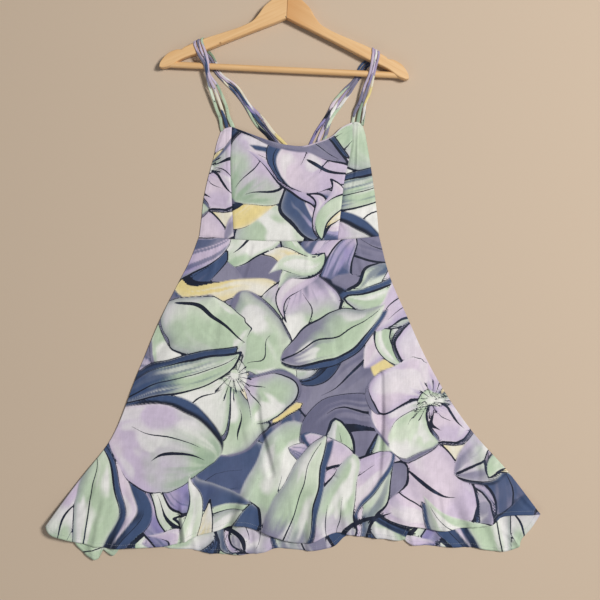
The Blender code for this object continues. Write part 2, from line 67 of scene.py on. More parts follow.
SKIRT_LEFT = (
    (-163, 3.6), (-181, -43), (-197.5, -75), (-220, -119), (-269, -231), (-324, -365), (-381, -438.5),
    (-435.6, -514.8),
)
SKIRT_RIGHT = (
    (160, 3.6), (179, -68), (209.5, -139), (249, -225), (286, -289), (327, -347), (392, -420),
    (448.2, -495),
)
FRONT_HEM = (
    (-435.6, -514.8), (-429, -527), (-404, -538), (-374, -546.5), (-322, -555.7), (-277, -555.7),
    (-230, -553.3), (-207, -549), (-183.6, -541.8), (-162, -532.8), (-128, -523), (-95.4, -513),
    (-61, -524), (-34, -533), (-5, -543.6), (36, -546.5), (57.6, -536.4), (90, -528), (109, -532.8),
    (137, -537), (169, -540), (203.4, -539), (214, -520), (243, -521.3), (272, -524.7), (290, -522),
    (322, -518), (363.6, -512), (378, -501.7), (403, -497), (448.2, -495),
)
BACK_HEM = (
    (-435.6, -514.8), (-405, -535), (-388, -542), (-381.6, -552.6), (-343.8, -576), (-337.5, -558),
    (-318.6, -570.6), (-300, -553), (-270, -552), (-227, -556), (-207, -559), (-174.6, -559.8),
    (-151, -565), (-117, -568), (-74.7, -568), (-47, -565), (-30.6, -558), (-2, -559), (32, -561.6),
    (57.6, -559.8), (77, -555.7), (102.6, -534), (150, -533), (196, -534), (214, -549), (249, -552.6),
    (295, -556), (331, -556), (369, -562.5), (391.7, -561.6), (410, -556), (417, -540), (430, -524),
    (448.2, -495),
)
BODICE_LEFT = (
    (-163, 3.6), (-159.5, 31.5), (-156, 65), (-146, 113), (-137, 145), (-130.5, 174), (-124, 192),
)
BODICE_RIGHT = (
    (160, 3.6), (156.5, 44), (151.5, 86), (144.5, 133), (138, 172), (135, 188), (130, 203.5),
)
SEAM_LEFT = ((-101, -2), (-104, 60), (-107, 140), (-104.5, 199.5))
SEAM_RIGHT = ((86, 1), (93.6, 68), (97, 99), (107.5, 148), (111.6, 172), (112.3, 208))
NECKLINE = (
    (-104.5, 199.5), (-71.5, 187), (-35, 174), (-4, 166.5), (25, 165), (47, 171), (76, 183),
    (94, 199), (112.3, 208),
)
STRAP_POINT_LEFT = ((-124, 192), (-115, 197), (-104.5, 199.5))
STRAP_POINT_RIGHT = ((112.3, 208), (121, 208), (130, 203.5))
BACK_TOP = ((-124, 186), (-90, 167), (-40, 155), (10, 151), (60, 156), (100, 173), (132, 195))


class Fold(NamedTuple):
    """A ridge, or a trough where its height is below 0: its path, its spread to the left and
    right of it, its height, and how much of that height it has at the two ends of the path."""

    path: tuple
    left: float
    right: float
    height: float
    start: float = 0.0
    end: float = 1.0


class Flute(NamedTuple):
    """A fold that runs from the hem up towards the waist, named by its place at the hem."""

    hem_x: float
    reach: float
    left: float
    right: float
    height: float


class Spot(NamedTuple):
    """A round place where a height or a share rises towards its middle."""

    x: float
    y: float
    radius: float
    height: float


FRONT_FOLDS = (
    Fold(((-58, -408), (-72, -462), (-97, -530)), 16, 52, 6.5),
    Fold(((-52, -300), (-28, -362), (-4, -440)), 22, 40, 2.2, 0, 0),
    Fold(((190, -240), (196, -330), (188, -430)), 30, 36, 2.4, 0, 0),
    Fold(((135, -250), (140, -330), (136, -430)), 30, 22, 2.0, 0, 0),
    Fold(((-192, -470), (-184, -560)), 12, 16, 3.2),
    Fold(((-330, -430), (-360, -520)), 26, 22, 3.4),
    Fold(((-232, -240), (-188, -150)), 22, 22, 1.6, 0, 0),
)
FRONT_FLUTES = (
    Flute(-300, 300, 48, 44, 4.0),
    Flute(-235, 210, 34, 34, 2.6),
    Flute(-20, 170, 38, 44, 3.4),
    Flute(60, 110, 26, 22, 4.6),
    Flute(112, 80, 20, 24, 3.4),
    Flute(218, 120, 20, 40, 4.2),
    Flute(300, 250, 44, 44, 3.6),
    Flute(372, 110, 24, 30, 4.4),
)
BACK_FLUTES = (
    Flute(-362, 110, 24, 22, 5.0),
    Flute(-322, 90, 22, 24, 4.4),
    Flute(-150, 120, 26, 26, 4.0),
    Flute(-96, 90, 24, 24, 5.4),
    Flute(-40, 80, 22, 22, 4.6),
    Flute(44, 100, 26, 24, 4.6),
    Flute(232, 90, 22, 26, 4.4),
    Flute(300, 110, 26, 24, 4.0),
    Flute(354, 90, 22, 20, 5.2),
    Flute(394, 80, 20, 20, 5.6),
)
# The looks' own: the skirt's sides and corners stand off the floor, and its front lies loose.
EDGE_LIFTS = (
    Spot(-436, -515, 110, 6.5), Spot(-372, -425, 85, 3.5), Spot(-300, -300, 95, 3),
    Spot(-235, -160, 80, 2), Spot(448, -495, 80, 3.5), Spot(360, -385, 70, 1.2),
)
LOOSE, LOOSE_FROM_SIDE, LOOSE_FROM_WAIST = 1.5, 34.0, 60.0
CORNER_LIFTS = (Spot(-436, -515, 95, 8.0), Spot(448, -495, 70, 4.5))
BUST_LIFTS = (Spot(-62, 92, 88, 2.6), Spot(66, 96, 88, 2.6))

# Straps run three abreast along a route, from the arm's top edge to the panel that they are sewn
# to: x, y, height of a strap's centre, spacing between straps, width of one.
TOP_Z = HANGER_UNDER + ARM + SEAM + STRAP / 2
BAR_Z = ARM_CENTRE + BAR_RADIUS + 2 * SEAM + STRAP / 2
FRONT_END_Z = 2.2
FLOOR_Z = STRAP / 2
WRAP_Z = 11.0
WRAP_BEND = ((0.0, 2.6), (-0.8, 0.7), (-3.4, 0.0))
STRAPS_ABREAST = 3
ROUTES = {
    "front_left": (
        (-163.2, 346.4, TOP_Z, 6.7, 5.8),
        (-157.7, 331.4, TOP_Z, 6.3, 5.4),
        (-148.8, 308.0, BAR_Z, 5.3, 4.9),
        (-147.3, 295.0, 14.2, 4.9, 4.4),
        (-133.6, 262.8, 10.2, 7.4, 5.6),
        (-123.0, 234.0, 7.0, 8.8, 6.4),
        (-112.4, 197.6, FRONT_END_Z, 10.0, 6.8),
    ),
    "front_right": (
        (153.4, 325.6, TOP_Z, 5.4, 4.6),
        (150.9, 312.6, TOP_Z, 5.4, 4.6),
        (146.6, 293.0, BAR_Z, 5.3, 4.8),
        (138.0, 265.0, 10.2, 6.2, 5.2),
        (130.4, 243.0, 7.6, 7.0, 5.6),
        (125.3, 226.0, 5.4, 7.9, 6.2),
        (121.6, 207.0, FRONT_END_Z, 9.0, 6.4),
    ),
    "back_left": (
        (-160.6, 341.0, FLOOR_Z, 6.7, 5.6),
        (-142.0, 322.0, FLOOR_Z, 5.2, 4.6),
        (-130.6, 299.0, FLOOR_Z, 4.8, 4.2),
        (-94.6, 264.5, FLOOR_Z, 5.1, 4.4),
        (-74.8, 236.0, FLOOR_Z, 6.4, 5.4),
        (-60.4, 217.0, FLOOR_Z, 7.4, 6.2),
        (-27.0, 177.0, FLOOR_Z, 8.6, 6.6),
        (-8.0, 152.0, FLOOR_Z, 9.2, 6.6),
    ),
    "back_right": (
        (152.7, 322.6, FLOOR_Z, 5.4, 4.6),
        (132.8, 309.0, FLOOR_Z, 5.0, 4.4),
        (119.4, 285.6, FLOOR_Z, 5.2, 4.6),
        (87.0, 244.0, FLOOR_Z, 6.6, 5.8),
        (67.6, 212.0, FLOOR_Z, 7.4, 6.4),
        (51.0, 176.0, FLOOR_Z, 9.6, 6.6),
        (41.6, 154.0, FLOOR_Z, 10.6, 6.6),
    ),
}

ARM_TOP = (
    (0, 146), (10, 143), (20, 136), (30, 127.5), (40.5, 117.5), (52, 100), (60, 90.5), (76, 81),
    (112, 66.5), (149, 52.5), (168, 43.5), (180, 37.2),
)
ARM_END = ((184.5, 33), (191.5, 32.8), (201, 29.5), (208.5, 25), (216.5, 16), (222, 5.5), (222.7, 0))
ARM_UNDER = ((217, -1.5), (206, 1.5), (186, 14.7), (148, 30.5), (114, 46.5), (0, 97.5))


# ------------------------------------------------------------------ sizes of the looks
WALL = 0.6  # the shown cloth
UNDER_STEP = 4  # the underside has every 4th row and column
SKIRT_SHAPE = (241, 361)  # rows and columns of a skirt panel's face
BACK_SKIRT_SHAPE = (161, 277)
BODICE_ROWS = 121
CENTRE_COLUMNS, LEFT_COLUMNS, RIGHT_COLUMNS, BACK_COLUMNS = 133, 41, 49, 149
STRAP_RINGS, STRAP_SIDES = 150, 14
EDGE_STEPS, SEAM_STEPS = 40, 24  # how finely a point's distance from an edge or a seam is measured
FLOOR_DROP = 0.3  # the floor lies this far under the cloth, so that no faces coincide
SEAM_DIP, SEAM_DIP_WIDTH = 1.3, 3.8
SEAM_PUCKER, PUCKER_WIDTH = 0.3, 13.0
STITCH, STITCH_STEP, THREAD = 2.4, 3.4, 0.42  # a stitch's length, its step and its thickness
STITCH_RINGS, STITCH_SIDES = 4, 5


# ------------------------------------------------------------------ curves and heights
def run_along(path):
    """Each point's distance from the start of a path, along it."""
    return np.r_[0, np.cumsum(np.linalg.norm(np.diff(path, axis=0), axis=1))]


def unit(vectors):
    """The same directions, 1 long."""
    return vectors / np.linalg.norm(vectors, axis=1)[:, None]


def circle(count):
    """Evenly spaced angles, once round."""
    return np.linspace(0, 2 * math.pi, count, endpoint=False)


def smooth(rows, count, axes=2):
    """count points, evenly spaced along a smooth curve through the rows, of any width. axes is
    how many of a row's values are its place."""
    rows = np.array(rows, float)
    run = run_along(rows[:, :axes])
    slope = np.gradient(rows, run, axis=0)
    at = np.linspace(0, run[-1], count)
    k = np.clip(np.searchsorted(run, at, side="right") - 1, 0, len(run) - 2)
    gap = (run[k + 1] - run[k])[:, None]
    t = (at[:, None] - run[k][:, None]) / gap
    return (
        rows[k] * (1 + 2 * t) * (1 - t) ** 2
        + rows[k + 1] * t**2 * (3 - 2 * t)
        + gap * slope[k] * t * (1 - t) ** 2
        + gap * slope[k + 1] * t**2 * (t - 1)
    )


def nearest(points, path):
    """Each point's distance to a path, the share of the path run there, and the side (+1 left)."""
    path = np.array(path, float)
    run = run_along(path)
    best = np.full(len(points), np.inf)
    share = np.zeros(len(points))
    side = np.ones(len(points))
    for k, (a, b) in enumerate(zip(path[:-1], path[1:])):
        step = b - a
        t = np.clip((points - a) @ step / (step @ step), 0, 1)
        away = points - a - t[:, None] * step
        distance = np.hypot(*away.T)
        closer = distance < best
        best[closer] = distance[closer]
        share[closer] = ((run[k] + t * (run[k + 1] - run[k])) / run[-1])[closer]
        side[closer] = np.where(step[0] * away[:, 1] - step[1] * away[:, 0] >= 0, 1, -1)[closer]
    return best, share, side


def bump(ratio):
    """A round rise: 1 at 0, and 0 from 1 on."""
    return np.clip(1 - ratio**2, 0, 1) ** 2


def ramp(ratio):
    """A soft step from 0 at 0 to 1 at 1."""
    ratio = np.clip(ratio, 0, 1)
    return ratio**2 * (3 - 2 * ratio)


HASH_ROW, HASH_COLUMN, HASH_SEED, HASH_MIX = 374761393, 668265263, 974634777, 1274126177
BITS_32, BITS_16 = 0xFFFFFFFF, 0xFFFF


def hashed(i, j, seed):
    """A number from 0 to 1 that looks random, the same each time for the same whole numbers."""
    n = (i * HASH_ROW + j * HASH_COLUMN + seed * HASH_SEED) & BITS_32
    n = ((n ^ (n >> 13)) * HASH_MIX) & BITS_32
    return ((n ^ (n >> 16)) & BITS_16) / BITS_16


def noise(x, y, seed=0):
    """Smooth random values from 0 to 1, a step of 1 apart."""
    i, j = np.floor(x).astype(np.int64), np.floor(y).astype(np.int64)
    u, v = ramp(x - i), ramp(y - j)
    low = hashed(i, j, seed) * (1 - u) + hashed(i + 1, j, seed) * u
    high = hashed(i, j + 1, seed) * (1 - u) + hashed(i + 1, j + 1, seed) * u
    return low * (1 - v) + high * v


def noise_along(run, seed, row=0.0):
    return noise(run, np.full_like(run, row), seed)


class Wave(NamedTuple):
    """Uneven waves: their size across and down, and their height."""

    across: float
    down: float
    height: float


def uneven(x, y, waves, seed):
    """The sum of uneven waves, which rise and fall about 0."""
    return sum(
        wave.height * (noise(x / wave.across, y / wave.down, seed + n) - 0.5)
        for n, wave in enumerate(waves)
    )


def fold_height(points, folds):
    """What the folds add up to at these points."""
    total = np.zeros(len(points))
    for fold in folds:
        distance, share, side = nearest(points, fold.path)
        spread = np.where(side > 0, fold.left, fold.right)
        along = fold.start + (1 - fold.start) * ramp(share / 0.5)
        along *= fold.end + (1 - fold.end) * ramp((1 - share) / 0.5)
        total += fold.height * along * bump(distance / spread)
    return total


def as_fold(flute):
    """The flute's path, on the line that keeps its share of the skirt's width."""
    corner_x, corner_y = SKIRT_LEFT[-1]
    hem_y = corner_y - HEM_OVERRUN
    top_y = hem_y + flute.reach + HEM_OVERRUN
    top, hem = [WAIST_HALF - (corner_x + WAIST_HALF) * y / corner_y for y in (top_y, hem_y)]
    path = ((flute.hem_x * top / hem, top_y), (flute.hem_x, hem_y))
    return Fold(path, flute.left, flute.right, flute.height)


def spot_height(points, spots):
    """What the spots add up to at these points."""
    return sum(
        spot.height * bump(np.hypot(points[:, 0] - spot.x, points[:, 1] - spot.y) / spot.radius)
        for spot in spots
    )


def waist_y(x):
    """Y of the waist's seam, which is lower in the middle."""
    return WAIST_SIDE_Y - WAIST_DIP * np.clip(1 - (x / WAIST_HALF) ** 2, 0, 1)


def from_sides(points):
    """Each point's distance from the nearest side seam."""
    edges = (SKIRT_LEFT, SKIRT_RIGHT, BODICE_LEFT, BODICE_RIGHT)
    return np.min([nearest(points, smooth(edge, EDGE_STEPS))[0] for edge in edges], axis=0)


def back_height(points):
    """Height of the back panels' underside over the surface that they lie on."""
    return fold_height(points, [as_fold(f) for f in BACK_FLUTES]) + spot_height(points, CORNER_LIFTS)


def front_height(points):
    """Height of the front panels' underside, as in the solids."""
    from_side = from_sides(points)
    from_waist = np.abs(points[:, 1] - waist_y(points[:, 0]))
    off_waist = WAIST_PUFF + (1 - WAIST_PUFF) * ramp(from_waist / PUFF_START)
    own = fold_height(points, FRONT_FOLDS + tuple(as_fold(f) for f in FRONT_FLUTES))
    own += spot_height(points, BUST_LIFTS)
    room = ramp((points[:, 1] - STRAP_ROOM_START) / (STRAP_ROOM_END - STRAP_ROOM_START))
    return (
        CLOTH
        + SEAM
        + (1 + COVER) * back_height(points)
        + PUFF * off_waist * ramp(from_side / PUFF_START)
        + ramp(from_side / (PUFF_START / 2)) * own
        + STRAP_ROOM * room
    )


# ------------------------------------------------------------------ print
def srgb(*parts):
    """A screen colour of 0 to 255 as linear numbers."""
    parts = np.array(parts, float) / 255
    return np.where(parts < 0.04045, parts / 12.92, ((parts + 0.055) / 1.055) ** 2.4)


MINT, MINT_DEEP, MINT_PALE = srgb(190, 209, 181), srgb(158, 182, 156), srgb(217, 228, 207)
LILAC, LILAC_DEEP, PINK = srgb(209, 194, 217), srgb(179, 165, 200), srgb(224, 209, 223)
LAVENDER, SLATE, SLATE_DEEP = srgb(152, 143, 192), srgb(133, 130, 155), srgb(104, 104, 132)
NAVY, INK = srgb(62, 82, 120), srgb(18, 26, 46)
YELLOW, CREAM, WHITE = srgb(238, 218, 150), srgb(238, 231, 210), srgb(243, 241, 238)
COLOURS = {
    "mint": MINT, "mint_deep": MINT_DEEP, "mint_pale": MINT_PALE, "lilac": LILAC, "pink": PINK,
    "lilac_deep": LILAC_DEEP, "lavender": LAVENDER, "slate": SLATE, "slate_deep": SLATE_DEEP,
    "navy": NAVY, "ink": INK, "yellow": YELLOW, "cream": CREAM, "white": WHITE,
}


class Fill(NamedTuple):
    """How a shape is coloured: three colours from its base to its tip, the colour that is combed
    in from its base and how far that reaches, how much white light lies on it, and the colour and
    strength of the shade along its left edge."""

    base: np.ndarray
    middle: np.ndarray
    tip: np.ndarray
    comb: np.ndarray
    reach: float
    light: float
    shade: np.ndarray
    shading: float


FILLS = {
    "mint": Fill(MINT, MINT, MINT_PALE, MINT_DEEP, 0.22, 0.95, SLATE, 0.7),
    "mint_pale": Fill(MINT, MINT_PALE, WHITE, MINT, 0.3, 0.9, MINT_DEEP, 0.4),
    "mint_lilac": Fill(LILAC, MINT, MINT, SLATE, 0.25, 0.9, LILAC_DEEP, 0.6),
    "mint_slate": Fill(SLATE, MINT, MINT_PALE, SLATE, 0.35, 0.8, SLATE, 0.8),
    "mint_navy": Fill(NAVY, MINT, MINT, NAVY, 0.5, 0.5, SLATE, 0.4),
    "lilac": Fill(LILAC, PINK, LILAC, LILAC_DEEP, 0.3, 0.5, LILAC_DEEP, 0.5),
    "lilac_mint": Fill(MINT, LILAC, PINK, MINT_DEEP, 0.25, 0.6, LILAC_DEEP, 0.4),
    "lilac_navy": Fill(NAVY, LILAC, PINK, NAVY, 0.42, 0.4, LAVENDER, 0.6),
    "lavender": Fill(NAVY, LAVENDER, LILAC, NAVY, 0.75, 0.15, NAVY, 0.5),
    "slate": Fill(SLATE, SLATE, SLATE, SLATE_DEEP, 0.5, 0.05, SLATE_DEEP, 0.5),
    "slate_navy": Fill(NAVY, SLATE, SLATE, NAVY, 0.45, 0.0, SLATE_DEEP, 0.5),
    "navy": Fill(NAVY, NAVY, NAVY, INK, 0.4, 0.0, INK, 0.35),
    "ink": Fill(INK, INK, NAVY, INK, 0.3, 0.0, INK, 0.2),
    "cream": Fill(YELLOW, CREAM, WHITE, YELLOW, 0.5, 0.5, YELLOW, 0.4),
    "yellow": Fill(YELLOW, YELLOW, CREAM, CREAM, 0.4, 0.3, CREAM, 0.4),
}


class Shape(NamedTuple):
    """One painted shape: its outline, the line's width at each point, its spine and half width
    there, its fill, and the strokes drawn inside it, each a path and its widths."""

    outline: np.ndarray
    line: np.ndarray
    spine: np.ndarray
    half: np.ndarray
    fill: Fill
    strokes: tuple
    seed: int


def mixed(a, b, share):
    """Colours from a, where the share is 0, to b, where it is 1."""
    share = np.asarray(share)[..., None]
    return a * (1 - share) + b * share


PROFILES = {
    "leaf": lambda s: np.sin(np.pi * s**0.8) ** 0.95,
    "petal": lambda s: np.sin(np.pi * s**1.6) ** 0.55 * (0.4 + 0.6 * ramp(s * 1.8)),
    "lobe": lambda s: np.clip(1 - np.abs(2 * s**1.1 - 1) ** 2.3, 0, 1) ** 0.5,
    "blade": lambda s: np.sin(np.pi * s**0.6) ** 0.8,
    "tulip": lambda s: np.sin(np.pi * s**0.72) ** 0.5 * (1.1 - 0.5 * s),
    "band": lambda s: np.sin(np.pi * s) ** 0.35,
}
SPINE_STEPS, STROKE_STEPS = 40, 11
RAGGED = 0.12  # an edge torn by more than this has small notches too
EDGE_WAVE, EDGE_NOTCH = 26, 9


class Drawn(NamedTuple):
    """How a shape is drawn: bend is how far its spine bows to the left and curl how far it runs
    in an S, as shares of its length; skew moves its width to the left, and torn is how ragged its
    edge is. line is the width of its outline, folds how many ink strokes lie in it, and rib the
    width of the line down its middle."""

    bend: float = 0.0
    curl: float = 0.0
    skew: float = 0.0
    torn: float = 0.05
    line: float = 2.0
    folds: int = 0
    rib: float = 0.0


def along(steps, values, at):
    """Rows of values that belong to these steps, read between them."""
    return np.stack([np.interp(at, steps, column) for column in values.T], axis=-1)


def inner_strokes(drawn, s, spine, across, length, seed):
    """The lines drawn in a shape: its rib, and folds that swell and taper. across leads from the
    spine to the left edge."""
    strokes = []
    if drawn.rib:
        strokes.append((spine[1:-3], drawn.rib * (1 - s[1:-3]) ** 0.8 + 0.2))
    for n in range(drawn.folds):
        lane = ((n + 0.5) / drawn.folds - 0.5) * 1.3 + 0.2 * (hashed(seed, n, 9) - 0.5)
        start = 0.08 + 0.3 * hashed(seed, n, 2)
        at = np.linspace(start, start + 0.25 + 0.4 * hashed(seed, n, 4), STROKE_STEPS)
        lanes = lane * (0.6 + 0.4 * (at - at[0]) / (at[-1] - at[0])) + 0.12 * np.sin(at * 9 + seed)
        path = along(s, spine, at) + along(s, across, at) * lanes[:, None]
        heavy = 1.2 + 6.5 * hashed(seed, n, 6) ** 2.2
        swell = np.linspace(0, 1, STROKE_STEPS) ** (0.6 + hashed(seed, n, 7))
        strokes.append((path, 0.5 + heavy * np.sin(np.pi * swell) ** 1.6 * min(1, length / 110)))
    return tuple(strokes)


def shape(base, tip, width, kind, fill, seed, drawn=Drawn()):
    """A painted shape from its base to its tip, with an uneven edge and a line that swells."""
    base, tip = np.array(base, float), np.array(tip, float)
    s = np.linspace(0, 1, SPINE_STEPS)
    way = tip - base
    length = np.linalg.norm(way)
    bow = drawn.bend * 4 * s * (1 - s) + drawn.curl * np.sin(2 * np.pi * s)
    spine = base + s[:, None] * way + bow[:, None] * (-way[1], way[0])
    heading = unit(np.gradient(spine, axis=0))
    side = np.c_[-heading[:, 1], heading[:, 0]]
    half = width / 2 * PROFILES[kind](s)
    edges = []
    for k, sign in enumerate((1, -1)):
        rough = noise_along(s * length / EDGE_WAVE, seed, k + 0.5) - 0.5
        if drawn.torn > RAGGED:
            notches = noise_along(s * length / EDGE_NOTCH, seed, k + 7.5) - 0.5
            rough += 0.6 * notches * ramp(s * 2 - 0.5)
        wide = half * (1 + sign * drawn.skew) + 2.4 * drawn.torn * rough * np.minimum(half * 2, 50)
        edges.append(spine + sign * side * wide[:, None])
    outline = np.vstack([edges[0], edges[1][-2:0:-1]])
    around = np.linspace(0, 1, len(outline), endpoint=False)
    swell = noise_along(around * 6, seed + 11, 0.3)
    line = drawn.line * np.clip((swell - 0.28) / 0.5, 0, 1) ** 1.4 * 1.6
    strokes = inner_strokes(drawn, s, spine, side * half[:, None], length, seed)
    return Shape(outline, line, spine, half, FILLS[fill], strokes, seed)


def turned(x, y, angle):
    """x and y turned to the left by an angle."""
    c, s = math.cos(angle), math.sin(angle)
    return np.array([x * c - y * s, x * s + y * c])


def ring(middle, radius, count):
    return np.array([middle + turned(radius, 0, t) for t in circle(count)])


def either_way(seed):
    """1 for about half of the seeds, and -1 for the others."""
    return 1 if hashed(seed, 1, 1) > 0.5 else -1


def backed(base, tip, width, kind, fill, seed, drawn, back, by):
    """A shape and, behind it, a wider one of another fill that shows along one side of it."""
    plain = drawn._replace(line=1.2, folds=0, rib=0, torn=drawn.torn / 2)
    grown = 1.0 + 0.5 * np.hypot(*by) / width
    tip = np.array(tip, float)
    return [
        shape(base + np.multiply(by, 0.5), tip + by, width * grown, kind, back, seed + 1, plain),
        shape(base, tip, width, kind, fill, seed, drawn),
    ]


def leaf(at, size, angle, fill, seed):
    """A long leaf that bends one way, with a heavy line down it and a dark back."""
    tip = at + turned(size, 0, angle)
    turn = hashed(seed, 1, 1) - 0.5
    drawn = Drawn(0.4 * turn, 0.12 * (hashed(seed, 3, 1) - 0.5), 0.25 * turn, 0.04, 2.6, 0, 3.4)
    width = size * (0.27 + 0.1 * hashed(seed, 2, 1))
    by = turned(0, 11 if turn > 0 else -11, angle)
    return backed(at, tip, width, "leaf", fill, seed, drawn, "navy", by)


def flames(at, size, angle, fill, seed):
    """Small pointed leaves that fan out from one place."""
    found = []
    for n, turn in enumerate((-0.8, 0.75, -0.35, 0.3, -0.02)):
        tip = at + turned(size * (0.7 + 0.35 * hashed(seed, n, 3)), 0, angle + turn)
        colour = (fill, "lilac", "cream", fill, "mint_pale")[n]
        drawn = Drawn(-0.25 * turn, 0.08, 0.1, 0.03, 2.4)
        found.append(shape(at, tip, size * 0.24, "leaf", colour, seed + n, drawn))
    return found


def inked(base, tip, width, bend, curl):
    """A heavy stroke of ink alone, which swells and tapers."""
    drawn = shape(base, tip, width, "blade", "ink", 1, Drawn(bend, curl, 0, 0, 0))
    round_it = ring((base + tip) / 2, np.linalg.norm(tip - base) * 0.75, 12)
    stroke = (drawn.spine, 2 * drawn.half)
    return Shape(round_it, np.zeros(12), drawn.spine, drawn.half, None, (stroke,), 1)


def ribbon(at, size, angle, fill, seed):
    """A pale band that runs in an S, with an ink stroke along it."""
    tip = at + turned(size, 0, angle)
    curl = 0.16 * either_way(seed)
    by = turned(0, size * 0.075, angle)
    return [
        inked(at + by, tip + by * 0.4, size * 0.07, 0.1, curl),
        shape(at, tip, size * 0.16, "band", fill, seed, Drawn(0.1, curl, 0, 0.08, 1.6)),
    ]


def curl(at, size, angle, fill, seed):
    """A streaked petal that turns over, with a pale lip along its outer side."""
    tip = at + turned(size, 0, angle)
    way = either_way(seed)
    body = Drawn(0.26 * way, 0, 0.2 * way, 0.03, 3.0)
    lip = Drawn(0.42 * way, 0, 0, 0.05, 2.4, 1)
    return [
        shape(at, tip, size * 0.62, "lobe", "lavender", seed, body),
        shape(at + turned(size * 0.05, 0, angle), tip, size * 0.2, "leaf", fill, seed + 2, lip),
    ]


def lobe(at, size, angle, fill, seed):
    """A broad rounded petal with a thick dark band round one side, and a thinner one of ink."""
    tip = at + turned(size, 0, angle)
    way = either_way(seed)
    drawn = Drawn(0.08 * way, 0, 0.1, 0.05, 2.4, 2)
    by = turned(size * 0.06, way * size * 0.12, angle)
    over = backed(at, tip, size * 0.78, "lobe", fill, seed, drawn, "ink", by * 0.35)
    return backed(at, tip, size * 0.78, "lobe", "navy", seed, drawn, "navy", by)[:1] + over


def flow(at, size, angle, fill, seed):
    """A long plain band that winds between the flowers, with an ink stroke under a part of it."""
    tip = at + turned(size, 0, angle)
    curl = 0.13 * either_way(seed)
    bend = 0.16 * (hashed(seed, 2, 1) - 0.5)
    by = turned(0, -size * 0.07, angle)
    return [
        inked(at + by, tip + by, size * 0.13, bend, curl),
        shape(at, tip, size * 0.21, "band", fill, seed, Drawn(bend, curl, 0, 0.04, 3.2, 1)),
    ]


def stroke(at, size, angle, fill, seed):
    """A heavy stroke of ink by itself."""
    tip = at + turned(size, 0, angle)
    return [inked(at, tip, size * 0.075, 0.36 * (hashed(seed, 1, 1) - 0.5), 0.05)]


def tulip(at, size, angle, fill, seed):
    """A big cupped flower from the side: petals behind, and three over them."""
    other = {"lilac": "mint_lilac", "mint": "lilac", "mint_lilac": "lilac_navy"}.get(fill, "mint")
    found = []
    for n, (turn, reach, width, colour, bend, folds) in enumerate((
        (0.62, 0.92, 0.42, "lavender", -0.2, 0),
        (-0.66, 0.94, 0.42, "slate_navy", 0.2, 0),
        (0.16, 1.08, 0.5, other, 0.06, 1),
        (-0.22, 1.04, 0.48, "mint_navy", -0.06, 1),
        (0.44, 0.94, 0.5, fill, -0.22, 2),
        (-0.42, 0.9, 0.52, fill, 0.24, 2),
        (0.02, 0.8, 0.5, other, 0.04, 2),
    )):
        tip = at + turned(size * reach, 0, angle + turn)
        drawn = Drawn(bend, 0.04, 0, 0.09, 2.8, folds)
        by = turned(0, 9 if turn > 0 else -9, angle)
        if n in (4, 5):  # the two side petals in front
            found += backed(at, tip, size * width, "tulip", colour, seed + 10 * n, drawn, "navy", by)
        else:
            found.append(shape(at, tip, size * width, "tulip", colour, seed + 10 * n, drawn))
    return found


STAMEN = np.array([0.8, 1.0, 1.0, 1.6, 2.8])  # its width, from its foot to its head


def poppy(at, size, angle, fill, seed):
    """An open flower with broad ragged petals, folded here and there, round a heart of stamens."""
    other = {"mint": "mint_lilac", "lilac": "lilac_mint"}.get(fill, "mint_pale")
    found = []
    for n, (turn, reach, width, colour) in enumerate((
        (2.5, 0.95, 1.15, other), (0.3, 1.0, 1.1, fill), (4.4, 0.9, 1.1, fill),
        (1.4, 0.98, 1.0, fill), (3.4, 0.86, 1.0, "mint_pale"), (5.4, 0.92, 1.0, other),
    )):
        far = size * reach * (0.9 + 0.2 * hashed(seed, n, 4))
        tip = at + turned(far, 0, angle + turn)
        drawn = Drawn(0.2 * (hashed(seed, n, 8) - 0.5), 0, 0.1, 0.16, 2.4, n % 3)
        near = at + turned(size * 0.03, 0, angle + turn)
        by = turned(4, 7, angle + turn)
        found += backed(
            near, tip, far * width, "petal", colour, seed + 10 * n, drawn, "slate_navy", by
        )
    heart = size * 0.2
    ragged = Drawn(torn=0.2, line=1.4)
    found.append(
        shape(at - (heart, 0), at + (heart, 0), heart * 1.7, "lobe", "mint_pale", seed, ragged)
    )
    rays = []
    count = int(size / 7)
    for n in range(count):
        turn = 2 * math.pi * (n + 0.6 * hashed(seed, n, 20)) / count
        inner, outer = size * 0.07, size * (0.18 + 0.16 * hashed(seed, n, 21))
        foot, head = at + turned(inner, 0, turn), at + turned(outer, 0, turn + 0.2)
        rays.append((np.linspace(foot, head, len(STAMEN)), STAMEN))
    disc = ring(at, size * 0.45, 24)
    found.append(Shape(disc, np.zeros(24), disc[:2], np.ones(2), None, tuple(rays), seed))
    return found


KINDS = {f.__name__: f for f in (leaf, flames, ribbon, curl, lobe, flow, stroke, tulip, poppy)}


class Motif(NamedTuple):
    """A motif of the print: its place, size, the way it points in degrees, and its colours."""

    kind: str
    x: float
    y: float
    size: float
    points: float
    fill: str


# Broad petals under everything, in rows that are moved about a little.
GROUND_FROM, GROUND_STEP, GROUND_STRAY = (-560, 290), (176, 150), 70
GROUND_ROWS, GROUND_COLUMNS, GROUND_SIZE = 7, 9, 262
GROUND_FILLS = (
    "slate", "mint", "lilac", "navy", "slate", "mint_lilac", "cream", "slate_navy", "lavender",
    "mint", "lilac_navy", "slate", "mint_lilac",
)

